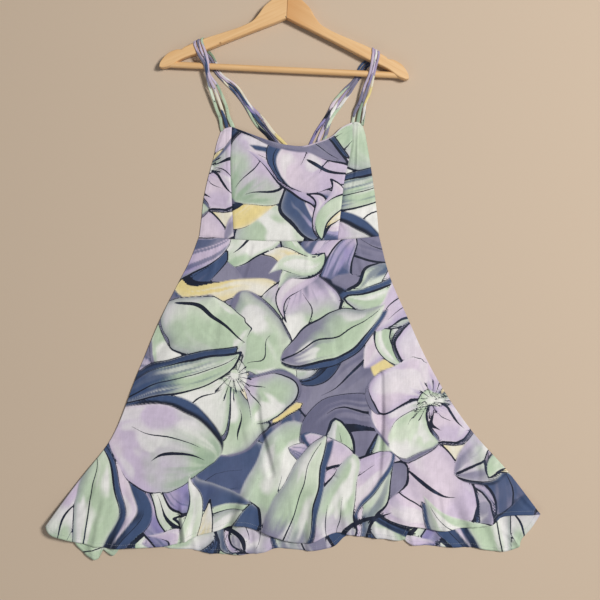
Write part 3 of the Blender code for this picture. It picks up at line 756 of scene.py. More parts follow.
MOTIFS = (
    # the skirt
    Motif("flow", -470, -300, 330, -20, "slate"),
    Motif("flow", -130, -20, 330, -95, "slate_navy"),
    Motif("flow", 20, -400, 340, 20, "slate"),
    Motif("flow", 190, -80, 300, -60, "navy"),
    Motif("flow", -330, -560, 300, 75, "slate_navy"),
    Motif("flow", 150, -590, 320, 25, "navy"),
    Motif("ribbon", -440, -360, 250, 10, "yellow"),
    Motif("ribbon", -250, -520, 250, 70, "cream"),
    Motif("ribbon", 20, -300, 220, 160, "cream"),
    Motif("ribbon", 270, -560, 260, 60, "cream"),
    Motif("ribbon", 150, -140, 240, -75, "yellow"),
    Motif("ribbon", -200, -60, 230, -30, "cream"),
    Motif("ribbon", 380, -330, 200, 150, "yellow"),
    Motif("curl", -340, -440, 230, 60, "lilac"),
    Motif("curl", -50, -480, 220, 155, "mint_pale"),
    Motif("curl", 290, -270, 220, 15, "mint"),
    Motif("curl", 80, -190, 200, 75, "lilac"),
    Motif("curl", -230, -170, 210, 60, "lilac"),
    Motif("curl", 180, -560, 190, 20, "lilac"),
    Motif("lobe", 350, -460, 200, 190, "mint_lilac"),
    Motif("lobe", -430, -560, 190, 50, "lilac_mint"),
    Motif("lobe", 10, -60, 180, -100, "mint_lilac"),
    Motif("lobe", 150, -400, 190, -20, "lilac"),
    Motif("tulip", 90, -560, 210, 85, "lilac"),
    Motif("poppy", -120, -250, 138, 15, "mint"),
    Motif("lobe", -140, -400, 190, 170, "lilac_mint"),
    Motif("leaf", -390, -590, 240, 85, "mint"),
    Motif("leaf", -60, -590, 250, 62, "mint_slate"),
    Motif("leaf", 300, -420, 230, 50, "mint_lilac"),
    Motif("leaf", 440, -560, 230, 150, "mint"),
    Motif("tulip", 250, -60, 190, 225, "mint_lilac"),
    Motif("leaf", -20, -210, 200, 25, "mint_slate"),
    Motif("leaf", -300, -300, 220, 25, "mint_navy"),
    Motif("poppy", 250, -300, 118, 60, "lilac"),
    Motif("flames", -150, -600, 170, 100, "mint"),
    Motif("flames", 350, -420, 130, 30, "mint"),
    Motif("flames", 60, -30, 140, 200, "mint"),
    Motif("stroke", 300, -210, 130, 120, "ink"),
    Motif("stroke", 90, -560, 130, 40, "ink"),
    Motif("stroke", -190, -130, 120, -30, "ink"),
    # what the bodice is cut from
    Motif("flow", 560, 120, 320, -15, "slate"),
    Motif("ribbon", 570, 40, 250, 20, "cream"),
    Motif("ribbon", 660, 190, 220, -20, "yellow"),
    Motif("lobe", 610, 60, 170, 40, "lilac_mint"),
    Motif("curl", 700, 130, 200, -15, "lilac"),
    Motif("leaf", 840, 40, 240, 155, "lilac_navy"),
    Motif("lobe", 820, 190, 160, 215, "lilac_mint"),
    Motif("leaf", 600, 180, 190, -15, "slate"),
    Motif("flames", 760, -10, 130, 70, "lilac_mint"),
    Motif("stroke", 720, 150, 90, -20, "ink"),
)


def make_ground():
    """The broad petals under the motifs."""
    made = []
    for row in range(GROUND_ROWS):
        for column in range(GROUND_COLUMNS):
            seed = 1000 + 40 * row + column
            stray = np.array([hashed(seed, 1, 3), hashed(seed, 2, 3)]) - 0.5
            step = np.multiply((column + 0.5 * (row % 2), -row), GROUND_STEP)
            middle = GROUND_FROM + step + GROUND_STRAY * stray
            angle = 2 * math.pi * hashed(seed, 3, 3)
            fill = GROUND_FILLS[(5 * row + 4 * column + row // 3) % len(GROUND_FILLS)]
            size = GROUND_SIZE * (0.8 + 0.4 * hashed(seed, 4, 3))
            made.append((hashed(seed, 5, 3), middle, size, angle, fill, seed))
    found = []
    for _, middle, size, angle, fill, seed in sorted(made, key=lambda m: m[0]):
        base = middle - turned(size / 2, 0, angle)
        tip = middle + turned(size / 2, 0, angle)
        bend = 0.4 * (hashed(seed, 6, 3) - 0.5)
        drawn = Drawn(bend, 0.1 * (hashed(seed, 7, 3) - 0.5), bend, 0.06, 3.2, 2)
        kind = ("lobe", "petal", "leaf")[seed % 3]
        by = turned(0, math.copysign(13, bend), angle)
        width = size * (0.62 + 0.2 * hashed(seed, 8, 3))
        if seed % 5 < 2:
            found += backed(base, tip, width, kind, fill, seed, drawn, "navy", by)
        else:
            found.append(shape(base, tip, width, kind, fill, seed, drawn))
    return found


def make_print():
    """Every shape of the print, in the order that they are painted in."""
    made = make_ground()
    for n, m in enumerate(MOTIFS):
        place = np.array([m.x, m.y], float)
        made += KINDS[m.kind](place, m.size, math.radians(m.points), m.fill, 31 * n + 7)
    return made


FAR = 30.0  # the distance that a point starts with, before a drawn line is found near it
MARGIN = 6.0  # a drawn line matters no further from its shape than this
SOFT = 2.6  # a colour runs into the next over this width, so that the mesh doesn't show as steps
BRUSH_HAIR = 4.6  # a painted hair's width: finer ones would show the mesh
SWAYS = (Wave(120, 120, 42), Wave(45, 45, 12))
BLENDS = (Wave(56, 56, 0.4), Wave(17, 17, 0.16))  # how a shape's colours run into each other
TINY = 1e-9


def boxed(points, path, margin):
    """Which points lie in the box round a path, or this close to it."""
    return ((points > path.min(0) - margin) & (points < path.max(0) + margin)).all(axis=1)


def path_distance(points, path, widths, closed):
    """Each point's distance to a path, the half width of its line there, and its sign: 1 inside a
    closed path or to the left of an open one, and -1 elsewhere."""
    a, b, wide, wide_on = path[:-1], path[1:], widths[:-1], widths[1:]
    if closed:
        a, b, wide, wide_on = path, np.roll(path, -1, axis=0), widths, np.roll(widths, -1)
    step = b - a
    away = points[:, None] - a[None]
    t = np.clip((away * step).sum(2) / np.maximum((step**2).sum(1), TINY), 0, 1)
    gap = away - t[..., None] * step
    square = (gap**2).sum(2)
    best = square.argmin(1)
    row = np.arange(len(points))
    half = (wide[best] + t[row, best] * (wide_on - wide)[best]) / 2
    if closed:
        y = points[:, 1:2]
        crosses = (a[:, 1] > y) != (b[:, 1] > y)
        rise = np.where(np.abs(step[:, 1]) < TINY, TINY, step[:, 1])
        x = a[:, 0] + (y - a[:, 1]) * step[:, 0] / rise
        positive = (crosses & (points[:, :1] < x)).sum(1) % 2 == 1
    else:
        on, off = step[best], gap[row, best]
        positive = on[:, 0] * off[:, 1] - on[:, 1] * off[:, 0] >= 0
    return np.sqrt(square[row, best]), half, np.where(positive, 1, -1)


def filled(p, shape, from_edge):
    """The shape's colour at these points inside it: its three colours run into each other, with
    ribs of the brush, white light, shade along the left edge and a comb of colour at its base."""
    fill, seed = shape.fill, shape.seed
    distance, share, side = nearest(p, shape.spine[::3])
    steps = np.linspace(0, 1, len(shape.half))
    across = np.clip(distance / np.maximum(np.interp(share, steps, shape.half), 2), 0, 1.2) * side
    chord = shape.spine[-1] - shape.spine[0]
    length = np.linalg.norm(chord)
    run = share * length
    x, y = turned(*p.T, 0.3 * seed)
    s = np.clip((p - shape.spine[0]) @ chord / length**2, 0, 1) + uneven(x, y, BLENDS, seed)
    colour = mixed(fill.base, fill.middle, ramp((s - 0.08) / 0.42))
    colour = mixed(colour, fill.tip, ramp((s - 0.6) / 0.3))
    threads = np.clip(shape.half.max() / BRUSH_HAIR, 3, 15)
    ribs = noise(across * 0.85 * threads + 40, run / 60, seed + 3)
    colour = colour * (0.965 + 0.07 * ribs)[:, None]
    blob = noise(across * 1.5 + 20, run / 48, seed + 5)
    blob += 0.35 * noise(across * 5 + 20, run / 24, seed + 6)
    light = fill.light * ramp((blob - 0.65) / 0.24) * ramp(from_edge / 10)
    colour = mixed(colour, WHITE, light)
    edge = np.exp(-from_edge / 13) * ramp(0.3 + 0.9 * across)
    colour = mixed(colour, fill.shade, np.clip(fill.shading * edge, 0, 1))
    hairs = noise(across * threads + 60, run / 90, seed + 8)
    front = fill.reach * (0.35 + 1.1 * noise(across * 6 + 90, share * 0.7, seed + 9))
    teeth = ramp((hairs - 0.55) / 0.2) * ramp((1.7 * fill.reach - share) / 0.35)
    comb = np.maximum(ramp((front - share) / 0.2), teeth * 0.75)
    colour = mixed(colour, fill.comb, comb * 0.9)
    rim = 0.5 * np.exp(-from_edge / 2.6) * ramp(0.4 - across) * (fill.light > 0.1)
    return mixed(colour, WHITE, rim)


def swayed(points):
    """The points moved about by slow waves, so that the painted shapes flow into each other."""
    x, y = points.T
    return points + np.stack([uneven(x, y, SWAYS, seed) for seed in (70, 80)], axis=1)


def paint(points, shapes):
    """The print at these places of the cloth, in mm: its colour, and of the nearest drawn line
    the signed distance, the plain one and the line's half width."""
    points = swayed(points)
    x, y = points.T
    cloud = noise(x / 70 + 0.4 * noise(x / 30, y / 30, 2), y / 90, 1)
    colour = mixed(SLATE, SLATE_DEEP, 0.7 * cloud)
    line = np.full((len(points), 3), (FAR, FAR, 0.0))

    def nearer(at, distance, half):
        return distance - half < line[at, 1] - line[at, 2]

    def draw(at, distance, half, sign, takes):
        line[at[takes]] = np.c_[distance * sign, distance, half][takes]

    for shape in shapes:
        near = np.flatnonzero(boxed(points, shape.outline, MARGIN))
        if not len(near):
            continue
        distance, half, sign = path_distance(points[near], shape.outline, shape.line, True)
        signed = distance * sign
        if shape.fill is not None:
            draw(near, distance, half, sign, (sign > 0) | nearer(near, distance, half))
            covered = signed > -SOFT / 2
            within = near[covered]
            if len(within):
                new = filled(points[within], shape, np.maximum(signed[covered], 0))
                cover = np.clip(0.5 + signed[covered] / SOFT, 0, 1)
                colour[within] = mixed(colour[within], new, cover)
        within = near[sign > 0]
        for path, widths in shape.strokes:
            at = within[boxed(points[within], path, MARGIN + widths.max() / 2)]
            if len(at):
                distance, half, sign = path_distance(points[at], path, widths, False)
                draw(at, distance, half, sign, nearer(at, distance, half))
    return colour, line


# ------------------------------------------------------------------ fine form of the cloth
# Creases finer than the solids' folds, as in the tables above. A crease below 0 is a trough.
FRONT_CREASES = (
    Fold(((-60, -286), (-57, -334), (-44, -380), (-33, -424)), 9, 11, -6.8, 0.4, 0.6),
    Fold(((-82, -296), (-78, -345), (-66, -398)), 13, 10, 2.2, 0.2, 0.2),
    Fold(((-44, -290), (-36, -340), (-22, -384), (-14, -422), (-22, -450)), 17, 22, 4.8, 0.2, 0.2),
    Fold(((-58, -436), (-80, -478), (-92, -508), (-100, -545)), 3.5, 17, 5.4, 0.4, 1),
    Fold(((-82, -440), (-104, -500), (-116, -540)), 9, 10, -1.8, 0, 1),
    Fold(((164, -246), (165, -322), (163, -380), (159, -432)), 6, 12, -5.6, 0.6, 0.5),
    Fold(((181, -256), (180, -340), (174, -430)), 13, 18, 3.4, 0.4, 0.2),
    Fold(((146, -270), (143, -350), (140, -420)), 10, 9, 1.3, 0.2, 0),
    Fold(((-193, -466), (-189, -508), (-184, -552)), 3.5, 12, 7.2, 0.3, 1),
    Fold(((-200, -480), (-196, -552)), 5, 5, -3.2, 0.3, 1),
    Fold(((70, -424), (84, -432), (98, -430)), 5, 5, -2.4, 0.3, 0.3),
    Fold(((2, -466), (8, -526)), 6, 6, 1.7, 0.2, 0.6),
    Fold(((-345, -420), (-360, -458), (-380, -496)), 9, 13, -3.4, 0.2, 0.5),
    Fold(((-328, -430), (-334, -478), (-344, -514)), 9, 10, 2.2, 0.2, 0.5),
    Fold(((-338, -494), (-350, -560)), 9, 9, 2.5, 0, 1),
    Fold(((-290, -470), (-300, -520), (-304, -560)), 9, 11, -1.8, 0, 1),
    Fold(((-264, -236), (-238, -205), (-200, -165)), 8, 11, -2.6, 0.3, 0.2),
    Fold(((-248, -244), (-220, -212), (-190, -178)), 9, 9, 1.6, 0.1, 0.1),
    Fold(((-245, -310), (-226, -262), (-206, -226)), 10, 10, 1.6, 0, 0),
    Fold(((334, -376), (338, -420), (334, -462)), 8, 10, -2.8, 0.2, 0.2),
    Fold(((296, -330), (322, -372), (354, -428)), 12, 12, 1.9, 0.1, 0.2),
    Fold(((400, -452), (420, -478), (444, -494)), 6, 7, -2.2, 0.2, 1),
    Fold(((373, -506), (410, -501), (446, -495)), 7, 5, 2.6, 0.4, 1),
    Fold(((-8, -100), (-4, -190), (2, -270)), 10, 13, 1.4, 0.1, 0),
    Fold(((74, -110), (84, -200), (98, -290)), 13, 9, -1.6, 0.1, 0),
    Fold(((-118, -80), (-134, -170), (-144, -240)), 11, 13, -1.6, 0.1, 0),
    Fold(((36, -462), (30, -510), (26, -552)), 7, 10, -2.6, 0.1, 1),
    Fold(((-150, -410), (-160, -470), (-164, -525)), 10, 13, 1.9, 0, 0.5),
    Fold(((262, -430), (268, -480), (272, -525)), 7, 10, -2.4, 0.1, 1),
    Fold(((90, -430), (94, -480), (102, -530)), 9, 8, 1.8, 0, 1),
    Fold(((104, -474), (110, -500), (114, -535)), 5, 7, -2.6, 0.2, 1),
    Fold(((130, -486), (134, -540)), 5, 7, -2.4, 0.2, 1),
    Fold(((148, -492), (155, -540)), 5, 8, 2.2, 0.1, 1),
    Fold(((174, -486), (172, -540)), 5, 6, -2.0, 0.1, 1),
    Fold(((220, -470), (214, -525)), 6, 8, 2.2, 0.2, 1),
    Fold(((120, -14), (132, -60), (142, -118)), 7, 9, 1.6, 0.6, 0),
    Fold(((-70, -14), (-78, -50), (-92, -96)), 7, 8, -1.4, 0.7, 0),
    Fold(((30, -12), (32, -40), (30, -76)), 6, 7, 1.1, 0.7, 0),
    Fold(((-128, -14), (-136, -50), (-150, -90)), 7, 8, 1.2, 0.7, 0),
)
BODICE_CREASES = (
    Fold(((-115.5, 196), (-116, 150), (-114, 96)), 2.2, 2.2, -0.55, 0.6, 0),
    Fold(((122, 204), (120, 128), (110, 62)), 2.6, 2.6, 1.5, 0.4, 0.2),
    Fold(((117.5, 190), (115, 128), (105, 62)), 2, 2, -0.8, 0.4, 0.2),
    Fold(((-97, 186), (-98, 120), (-95, 84)), 3, 3, 0.45, 0.3, 0),
    Fold(((86, 28), (74, 16), (52, 8)), 4, 4, 1.3, 0.6, 0),
    Fold(((96, 14), (90, 24), (78, 30)), 3.5, 4, -1.2, 0.4, 0),
    Fold(((104, 40), (92, 34), (72, 36)), 4, 4, 1.0, 0.3, 0),
    Fold(((40, 66), (42, 36), (40, 12)), 7, 7, -0.6, 0, 0.4),
    Fold(((-60, 150), (-20, 128), (30, 122), (80, 136)), 12, 10, -0.6, 0, 0),
    Fold(((-96, 70), (-66, 46), (-40, 12)), 9, 9, 0.7, 0, 0.3),
    Fold(((146, 110), (128, 100), (112, 96)), 5, 5, 0.7, 0.6, 0),
    Fold(((-150, 70), (-130, 62), (-110, 60)), 5, 5, 0.7, 0.6, 0),
    Fold(((150, 60), (134, 44), (116, 38)), 6, 6, -0.7, 0.5, 0),
)
BACK_CREASES = (
    Fold(((-366, -500), (-360, -536), (-350, -574)), 4, 8, 3.2, 0.1, 1),
    Fold(((-340, -520), (-336, -548), (-326, -572)), 5, 6, 2.4, 0.1, 1),
    Fold(((-300, -470), (-306, -510), (-300, -560)), 8, 9, 2.2, 0, 1),
    Fold(((-262, -520), (-256, -556)), 5, 7, 1.8, 0.2, 1),
    Fold(((-222, -530), (-214, -562)), 4, 6, 2.0, 0.3, 1),
    Fold(((-176, -524), (-168, -566)), 6, 5, 2.2, 0.2, 1),
    Fold(((-138, -520), (-140, -572)), 5, 5, 2.4, 0.2, 1),
    Fold(((-112, -500), (-118, -570)), 5, 8, 2.6, 0, 1),
    Fold(((-88, -524), (-84, -572)), 3.5, 6, 2.6, 0.2, 1),
    Fold(((-66, -500), (-62, -535), (-58, -572)), 4, 7, 3.0, 0.1, 1),
    Fold(((30, -500), (34, -565)), 8, 7, 2.2, 0, 1),
    Fold(((262, -480), (270, -556)), 6, 8, 2.4, 0, 1),
    Fold(((216, -516), (222, -552)), 4, 7, 2.6, 0.2, 1),
    Fold(((318, -510), (322, -558)), 5, 6, 1.8, 0.2, 1),
    Fold(((380, -520), (402, -540), (416, -556)), 3.5, 9, 4.8, 0.3, 1),
    Fold(((362, -560), (388, -547), (422, -532)), 4, 5, 3.8, 0.5, 0.3),
    Fold(((-60, -60), (-90, -180), (-120, -300)), 16, 18, 1.4, 0, 0),
    Fold(((80, -90), (120, -210), (150, -330)), 18, 16, 1.6, 0, 0),
    Fold(((-190, -160), (-240, -280), (-290, -380)), 14, 16, 1.2, 0, 0),
    Fold(((20, -200), (30, -320), (24, -430)), 16, 14, 1.3, 0, 0),
    Fold(((-20, 20), (-30, 60), (-28, 110)), 12, 12, 0.9, 0.3, 0),
    Fold(((70, 16), (84, 70), (88, 120)), 10, 12, 0.9, 0.3, 0),
)

WRINKLES, WRINKLE_SLANT = (Wave(46, 110, 1.3), Wave(15, 34, 0.42)), 0.18
# Beside a side seam the creases start this far in, and are full this much further.
BACK_CALM, BACK_CALM_OVER = 1.0, 14.0
FRONT_CALM, FRONT_CALM_OVER = 0.5, 9.0
CLOSED, CLOSED_OVER = 0.88, 7.0  # how much of the room under the front its side seams take away
CLEAR = 0.15  # the least gap between the front and the back


class Turning(NamedTuple):
    """An edge turned in and stitched: the turning's width and how soon it steps down to the
    cloth, the stitches' distance from the edge, and the depth and half width of their dip."""

    width: float
    step: float
    stitches: float
    dip: float
    dip_width: float


HEM = Turning(10.0, 1.6, 7.6, 0.28, 1.8)
NECK = Turning(6.5, 1.4, 5.2, 0.25, 1.6)  # along the neckline and the armholes
TURNED_THICK = 0.42
RIPPLE, RIPPLE_REACH, RIPPLE_OVER = 0.45, 21.6, 18.0  # the drawn-in waves along a stitched hem
# The neckline's edge shows its pale inside this far down, to the right of here, and this much.
PALE_EDGE, PALE_FROM_X, PALE = 2.6, 18.0, 0.8


def wrinkles(points, seed):
    """Low, uneven waves of the laid cloth, longer down the dress than across it."""
    x, y = points.T
    return uneven(x + WRINKLE_SLANT * y, y, WRINKLES, seed)


def turned_form(turning, from_edge):
    """How much thicker than the cloth a turned edge is, with a dip at its stitches."""
    band = TURNED_THICK * ramp((turning.width - from_edge) / turning.step)
    return band - turning.dip * bump((from_edge - turning.stitches) / turning.dip_width)


def hem_form(from_hem, run, seed):
    """A hem's turning, gathered into small waves. run is the distance along its edge."""
    drift = noise_along(run / 70, seed)
    wave = np.sin(run / (2.4 + 0.5 * drift) + 9 * drift)
    wave *= ramp((RIPPLE_REACH - from_hem) / RIPPLE_OVER)
    amount = ramp((noise_along(run / 42 + 50, seed + 3) - 0.25) / 0.5)
    return turned_form(HEM, from_hem) + RIPPLE * wave * amount


def seam_form(from_seam, run):
    """A seam's groove, and the puckers that its stitches draw in on both sides."""
    wave = np.sin(run / 2.5 + 6 * noise_along(run / 30, 3)) * noise_along(run / 16, 4)
    groove = SEAM_DIP * bump(from_seam / SEAM_DIP_WIDTH)
    return SEAM_PUCKER * wave * bump(from_seam / PUCKER_WIDTH) - groove


def back_z(points):
    """Underside of the shown back cloth."""
    fine = fold_height(points, BACK_CREASES) + np.abs(wrinkles(points, 60))
    fine *= ramp((from_sides(points) - BACK_CALM) / BACK_CALM_OVER)
    return np.maximum(back_height(points) + fine, 0) + spot_height(points, EDGE_LIFTS)


def front_z(points):
    """Underside of the shown front cloth: the solid's height, closed down to the back at the
    sides, with the finer creases."""
    from_side = from_sides(points)
    from_waist = points[:, 1] - waist_y(points[:, 0])
    back = back_height(points) + WALL
    opened = 1 - CLOSED + CLOSED * ramp(from_side / CLOSED_OVER)
    fine = fold_height(points, FRONT_CREASES + BODICE_CREASES) + wrinkles(points, 20)
    in_bodice = ramp((points[:, 1] + 2) / 3)
    for seam in (SEAM_LEFT, SEAM_RIGHT):
        from_seam = nearest(points, smooth(seam, SEAM_STEPS))[0]
        fine += seam_form(from_seam, points[:, 1]) * in_bodice
    fine += seam_form(from_waist, points[:, 0])
    fine += LOOSE * ramp(from_side / LOOSE_FROM_SIDE) * ramp(-from_waist / LOOSE_FROM_WAIST)
    fine *= ramp((from_side - FRONT_CALM) / FRONT_CALM_OVER)
    height = back + (front_height(points) - back) * opened + fine
    return np.maximum(height + spot_height(points, EDGE_LIFTS), back_z(points) + WALL + CLEAR)


# ------------------------------------------------------------------ meshes
def linked(name, data):
    """A new object of this data, in the scene."""
    new = bpy.data.objects.new(name, data)
    bpy.context.scene.collection.objects.link(new)
    return new


def finished(name, points, faces, material, flat=0):
    """A piece in the scene from points in mm and faces, riding on the only body. It is shaded
    smooth, apart from this many faces at the end."""
    mesh = bpy.data.meshes.new(name)
    mesh.from_pydata((np.asarray(points) * MM).tolist(), [], faces)
    mesh.polygons.foreach_set("use_smooth", np.arange(len(faces)) < len(faces) - flat)
    mesh.materials.append(MATERIALS[material])
    piece = linked(name, mesh)
    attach(piece, "root")
    return piece


def give_colours(mesh, colour, line):
    """The print on a mesh, as the cloth's material reads it."""
    colours = mesh.color_attributes.new("print", "FLOAT_COLOR", "POINT")
    colours.data.foreach_set("color", np.c_[colour, np.ones(len(colour))].astype(np.float32).ravel())
    lines = mesh.attributes.new("line", "FLOAT_VECTOR", "POINT")
    lines.data.foreach_set("vector", line.astype(np.float32).ravel())


def stitches(name, surface, distance, at):
    """A row of stitches on a surface of (row, column) points, at this distance from the edge
    that its first row lies on. Each is a short thread that dips into the cloth at its ends."""
    columns = np.arange(surface.shape[1])
    k = (distance < at).sum(0)
    before, after = distance[k - 1, columns], distance[k, columns]
    share = ((at - before) / (after - before))[:, None]
    path = surface[k - 1, columns] * (1 - share) + surface[k, columns] * share
    run = run_along(path)
    bend = np.linspace(0, 1, STITCH_RINGS)
    rise = np.sin(np.pi * bend)
    thick = THREAD * (0.6 + 0.4 * rise)
    points, faces = [], []
    for start in np.arange(STITCH_STEP, run[-1] - STITCH_STEP, STITCH_STEP):
        places = along(run, path, start + STITCH * bend)
        places[:, 2] += THREAD * (1.6 * rise - 0.6)
        way = places[-1] - places[0]
        across = np.tile((-way[1], way[0], 0.0), (STITCH_RINGS, 1))
        rings = rings_along(places, across, thick, thick, STITCH_SIDES, 1)
        first = len(points)
        points.extend(rings.reshape(-1, 3))
        faces += [[first + v for v in face] for face in tube_faces(STITCH_RINGS, STITCH_SIDES)]
    finished(name, points, faces, "thread")


def rim(rows, columns, step):
    """The places of a grid's edge, once round from its first point, at every step-th one."""
    top = [(0, j) for j in range(0, columns - 1, step)]
    right = [(i, columns - 1) for i in range(0, rows - 1, step)]
    bottom = [(rows - 1, j) for j in range(columns - 1, 0, -step)]
    left = [(i, 0) for i in range(rows - 1, 0, -step)]
    return top + right + bottom + left


def lowest_near(z, step):
    """The lowest value within step rows and columns, so that a coarse underside stays under."""
    padded = np.pad(z, step, mode="edge")
    rows, columns = z.shape
    low = np.min([padded[i : i + rows] for i in range(2 * step + 1)], axis=0)
    return np.min([low[:, j : j + columns] for j in range(2 * step + 1)], axis=0)


def quads(rows, columns, first, down):
    """Faces between a grid's points, which start at this number, facing up or down."""
    i, j = np.meshgrid(np.arange(rows - 1), np.arange(columns - 1), indexing="ij")
    a = first + i * columns + j
    loop = [a, a + columns, a + columns + 1, a + 1]
    if down:
        loop = loop[::-1]
    return np.stack(loop, axis=-1).reshape(-1, 4).tolist()


class Cut(NamedTuple):
    """Where in the print a panel is cut: its points are moved by x and y, and mirrored before
    that where turn is -1."""

    x: float
    y: float
    turn: int = 1


def shell(name, grid, height, extra, cut, pale=None):
    """A closed thin shell of printed cloth. Its
    face has every point of the grid, and its underside, at this height, every UNDER_STEP-th row
    and column. extra thickens the face, as at a hem, and pale is how much of the print's back
    shows there, as along a turned edge. It gives back the face's points."""
    rows, columns = grid.shape[:2]
    step, count = UNDER_STEP, rows * columns
    under = height(grid.reshape(-1, 2)).reshape(rows, columns)
    surface = np.dstack([grid, under + WALL + extra])
    low = np.dstack([grid, lowest_near(under, step)])[::step, ::step]
    low_rows, low_columns = low.shape[:2]
    points = np.vstack([surface.reshape(-1, 3), low.reshape(-1, 3)])
    faces = quads(rows, columns, 0, False) + quads(low_rows, low_columns, count, True)
    fine = [i * columns + j for i, j in rim(rows, columns, 1)]
    coarse = [count + i // step * low_columns + j // step for i, j in rim(rows, columns, step)]
    for k, start in enumerate(coarse):
        run = [fine[(k * step + n) % len(fine)] for n in range(step + 1)]
        faces.append(run + [coarse[(k + 1) % len(coarse)], start])
    piece = finished(name, points, faces, "cloth", len(coarse))
    printed = grid * (cut.turn, 1) + (cut.x, cut.y)
    places = np.vstack([printed.reshape(-1, 2), printed[::step, ::step].reshape(-1, 2)])
    colour, line = paint(places, PRINT)
    if pale is not None:
        colour[:count] = mixed(colour[:count], PINK, pale.ravel())
        line[:count, 2] *= pale.ravel() < 0.5
    give_colours(piece.data, colour, line)
    width, length = [run_from(grid, axis, False).max() * MM for axis in (1, 0)]
    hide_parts(name)
    return surface


def blend_grid(top, bottom, left, right):
    """A grid between four edges (a Coons patch): top and bottom run left to right with one point
    for each column, and left and right run down with one for each row."""
    u = np.linspace(0, 1, len(top))[None, :, None]
    v = np.linspace(0, 1, len(left))[:, None, None]
    across = (1 - u) * left[:, None] + u * right[:, None]
    down = (1 - v) * top[None] + v * bottom[None]
    corners = (1 - v) * ((1 - u) * top[0] + u * top[-1]) + v * ((1 - u) * bottom[0] + u * bottom[-1])
    return across + down - corners


def run_from(grid, axis, from_end):
    """Each point's distance along its row or column from the grid's edge."""
    steps = np.linalg.norm(np.diff(grid, axis=axis), axis=2)
    first = np.zeros_like(steps.take([0], axis))
    if from_end:
        steps = np.flip(steps, axis)
    run = np.cumsum(np.concatenate([first, steps], axis), axis)
    return np.flip(run, axis) if from_end else run


def skirt(name, hem, shape, height, cut, seed):
    """A skirt panel from the waist to its hem."""
    rows, columns = shape
    bottom = smooth(hem, columns)
    x = np.linspace(SKIRT_LEFT[0][0], SKIRT_RIGHT[0][0], columns)
    top = np.c_[x, waist_y(x)]
    left, right = smooth(SKIRT_LEFT, rows), smooth(SKIRT_RIGHT, rows)
    left[0], right[0] = top[0], top[-1]
    grid = blend_grid(top, bottom, left, right)
    from_hem = run_from(grid, 0, True)
    run = np.broadcast_to(run_from(grid, 1, False)[-1], from_hem.shape)
    surface = shell(name, grid, height, hem_form(from_hem, run, seed), cut)
    stitches(name + "_hem_stitches", surface[::-1], from_hem[::-1], HEM.stitches)


def bodice(name, top_edge, columns, left_edge, right_edge, height, cut):
    """A bodice panel from its top edge to the waist."""
    top = smooth(top_edge, columns)
    left, right = [smooth(edge, BODICE_ROWS)[::-1] for edge in (left_edge, right_edge)]
    x = np.linspace(left[-1, 0], right[-1, 0], columns)
    bottom = np.c_[x, waist_y(x)]
    top[0], top[-1] = left[0], right[0]
    left[-1], right[-1] = bottom[0], bottom[-1]
    grid = blend_grid(top, bottom, left, right)
    from_top = run_from(grid, 0, False)
    turned_out = ramp((PALE_EDGE + 0.6 - from_top) / 1.2) * ramp((grid[..., 0] - PALE_FROM_X) / 12)
    pale = PALE * turned_out * (name == "bodice_front_centre")
    surface = shell(name, grid, height, turned_form(NECK, from_top), cut, pale)
    stitches(name + "_edge_stitches", surface, from_top, NECK.stitches)


def rings_along(places, across, widths, depths, sides, squareness):
    """Rings of points round a line of places. across is the direction of a ring's width, and
    squareness is 1 for an oval and less for a flatter, squarer section."""
    tangent = unit(np.gradient(places, axis=0))
    across = unit(across - (across * tangent).sum(1)[:, None] * tangent)
    outward = np.cross(across, tangent)
    turn = circle(sides)
    flat = np.sign(np.cos(turn)) * np.abs(np.cos(turn)) ** squareness / 2
    thick = np.sin(turn) / 2
    return (
        places[:, None]
        + flat[None, :, None] * widths[:, None, None] * across[:, None]
        + thick[None, :, None] * depths[:, None, None] * outward[:, None]
    )


def tube_faces(rings, sides):
    """Faces between the rings, with a cap at each end, pointing out."""
    i, k = np.meshgrid(np.arange(rings - 1), np.arange(sides), indexing="ij")
    n = (k + 1) % sides
    a = i * sides
    faces = np.stack([a + k, a + n, a + sides + n, a + sides + k], axis=-1).reshape(-1, 4).tolist()
    faces.append(list(range(sides))[::-1])
    faces.append(list(range((rings - 1) * sides, rings * sides)))
    return faces


def hollow_faces(rings, sides):
    """Faces of a tube with a wall, whose inner rings follow the outer ones in its points."""
    outer = tube_faces(rings, sides)[:-2]
    inside = rings * sides
    faces = outer + [[inside + v for v in face[::-1]] for face in outer]
    for first, turn in ((0, 1), ((rings - 1) * sides, -1)):
        for k in range(sides):
            a, b = first + k, first + (k + 1) % sides
            faces.append([b, a, inside + a, inside + b][::turn])
    return faces


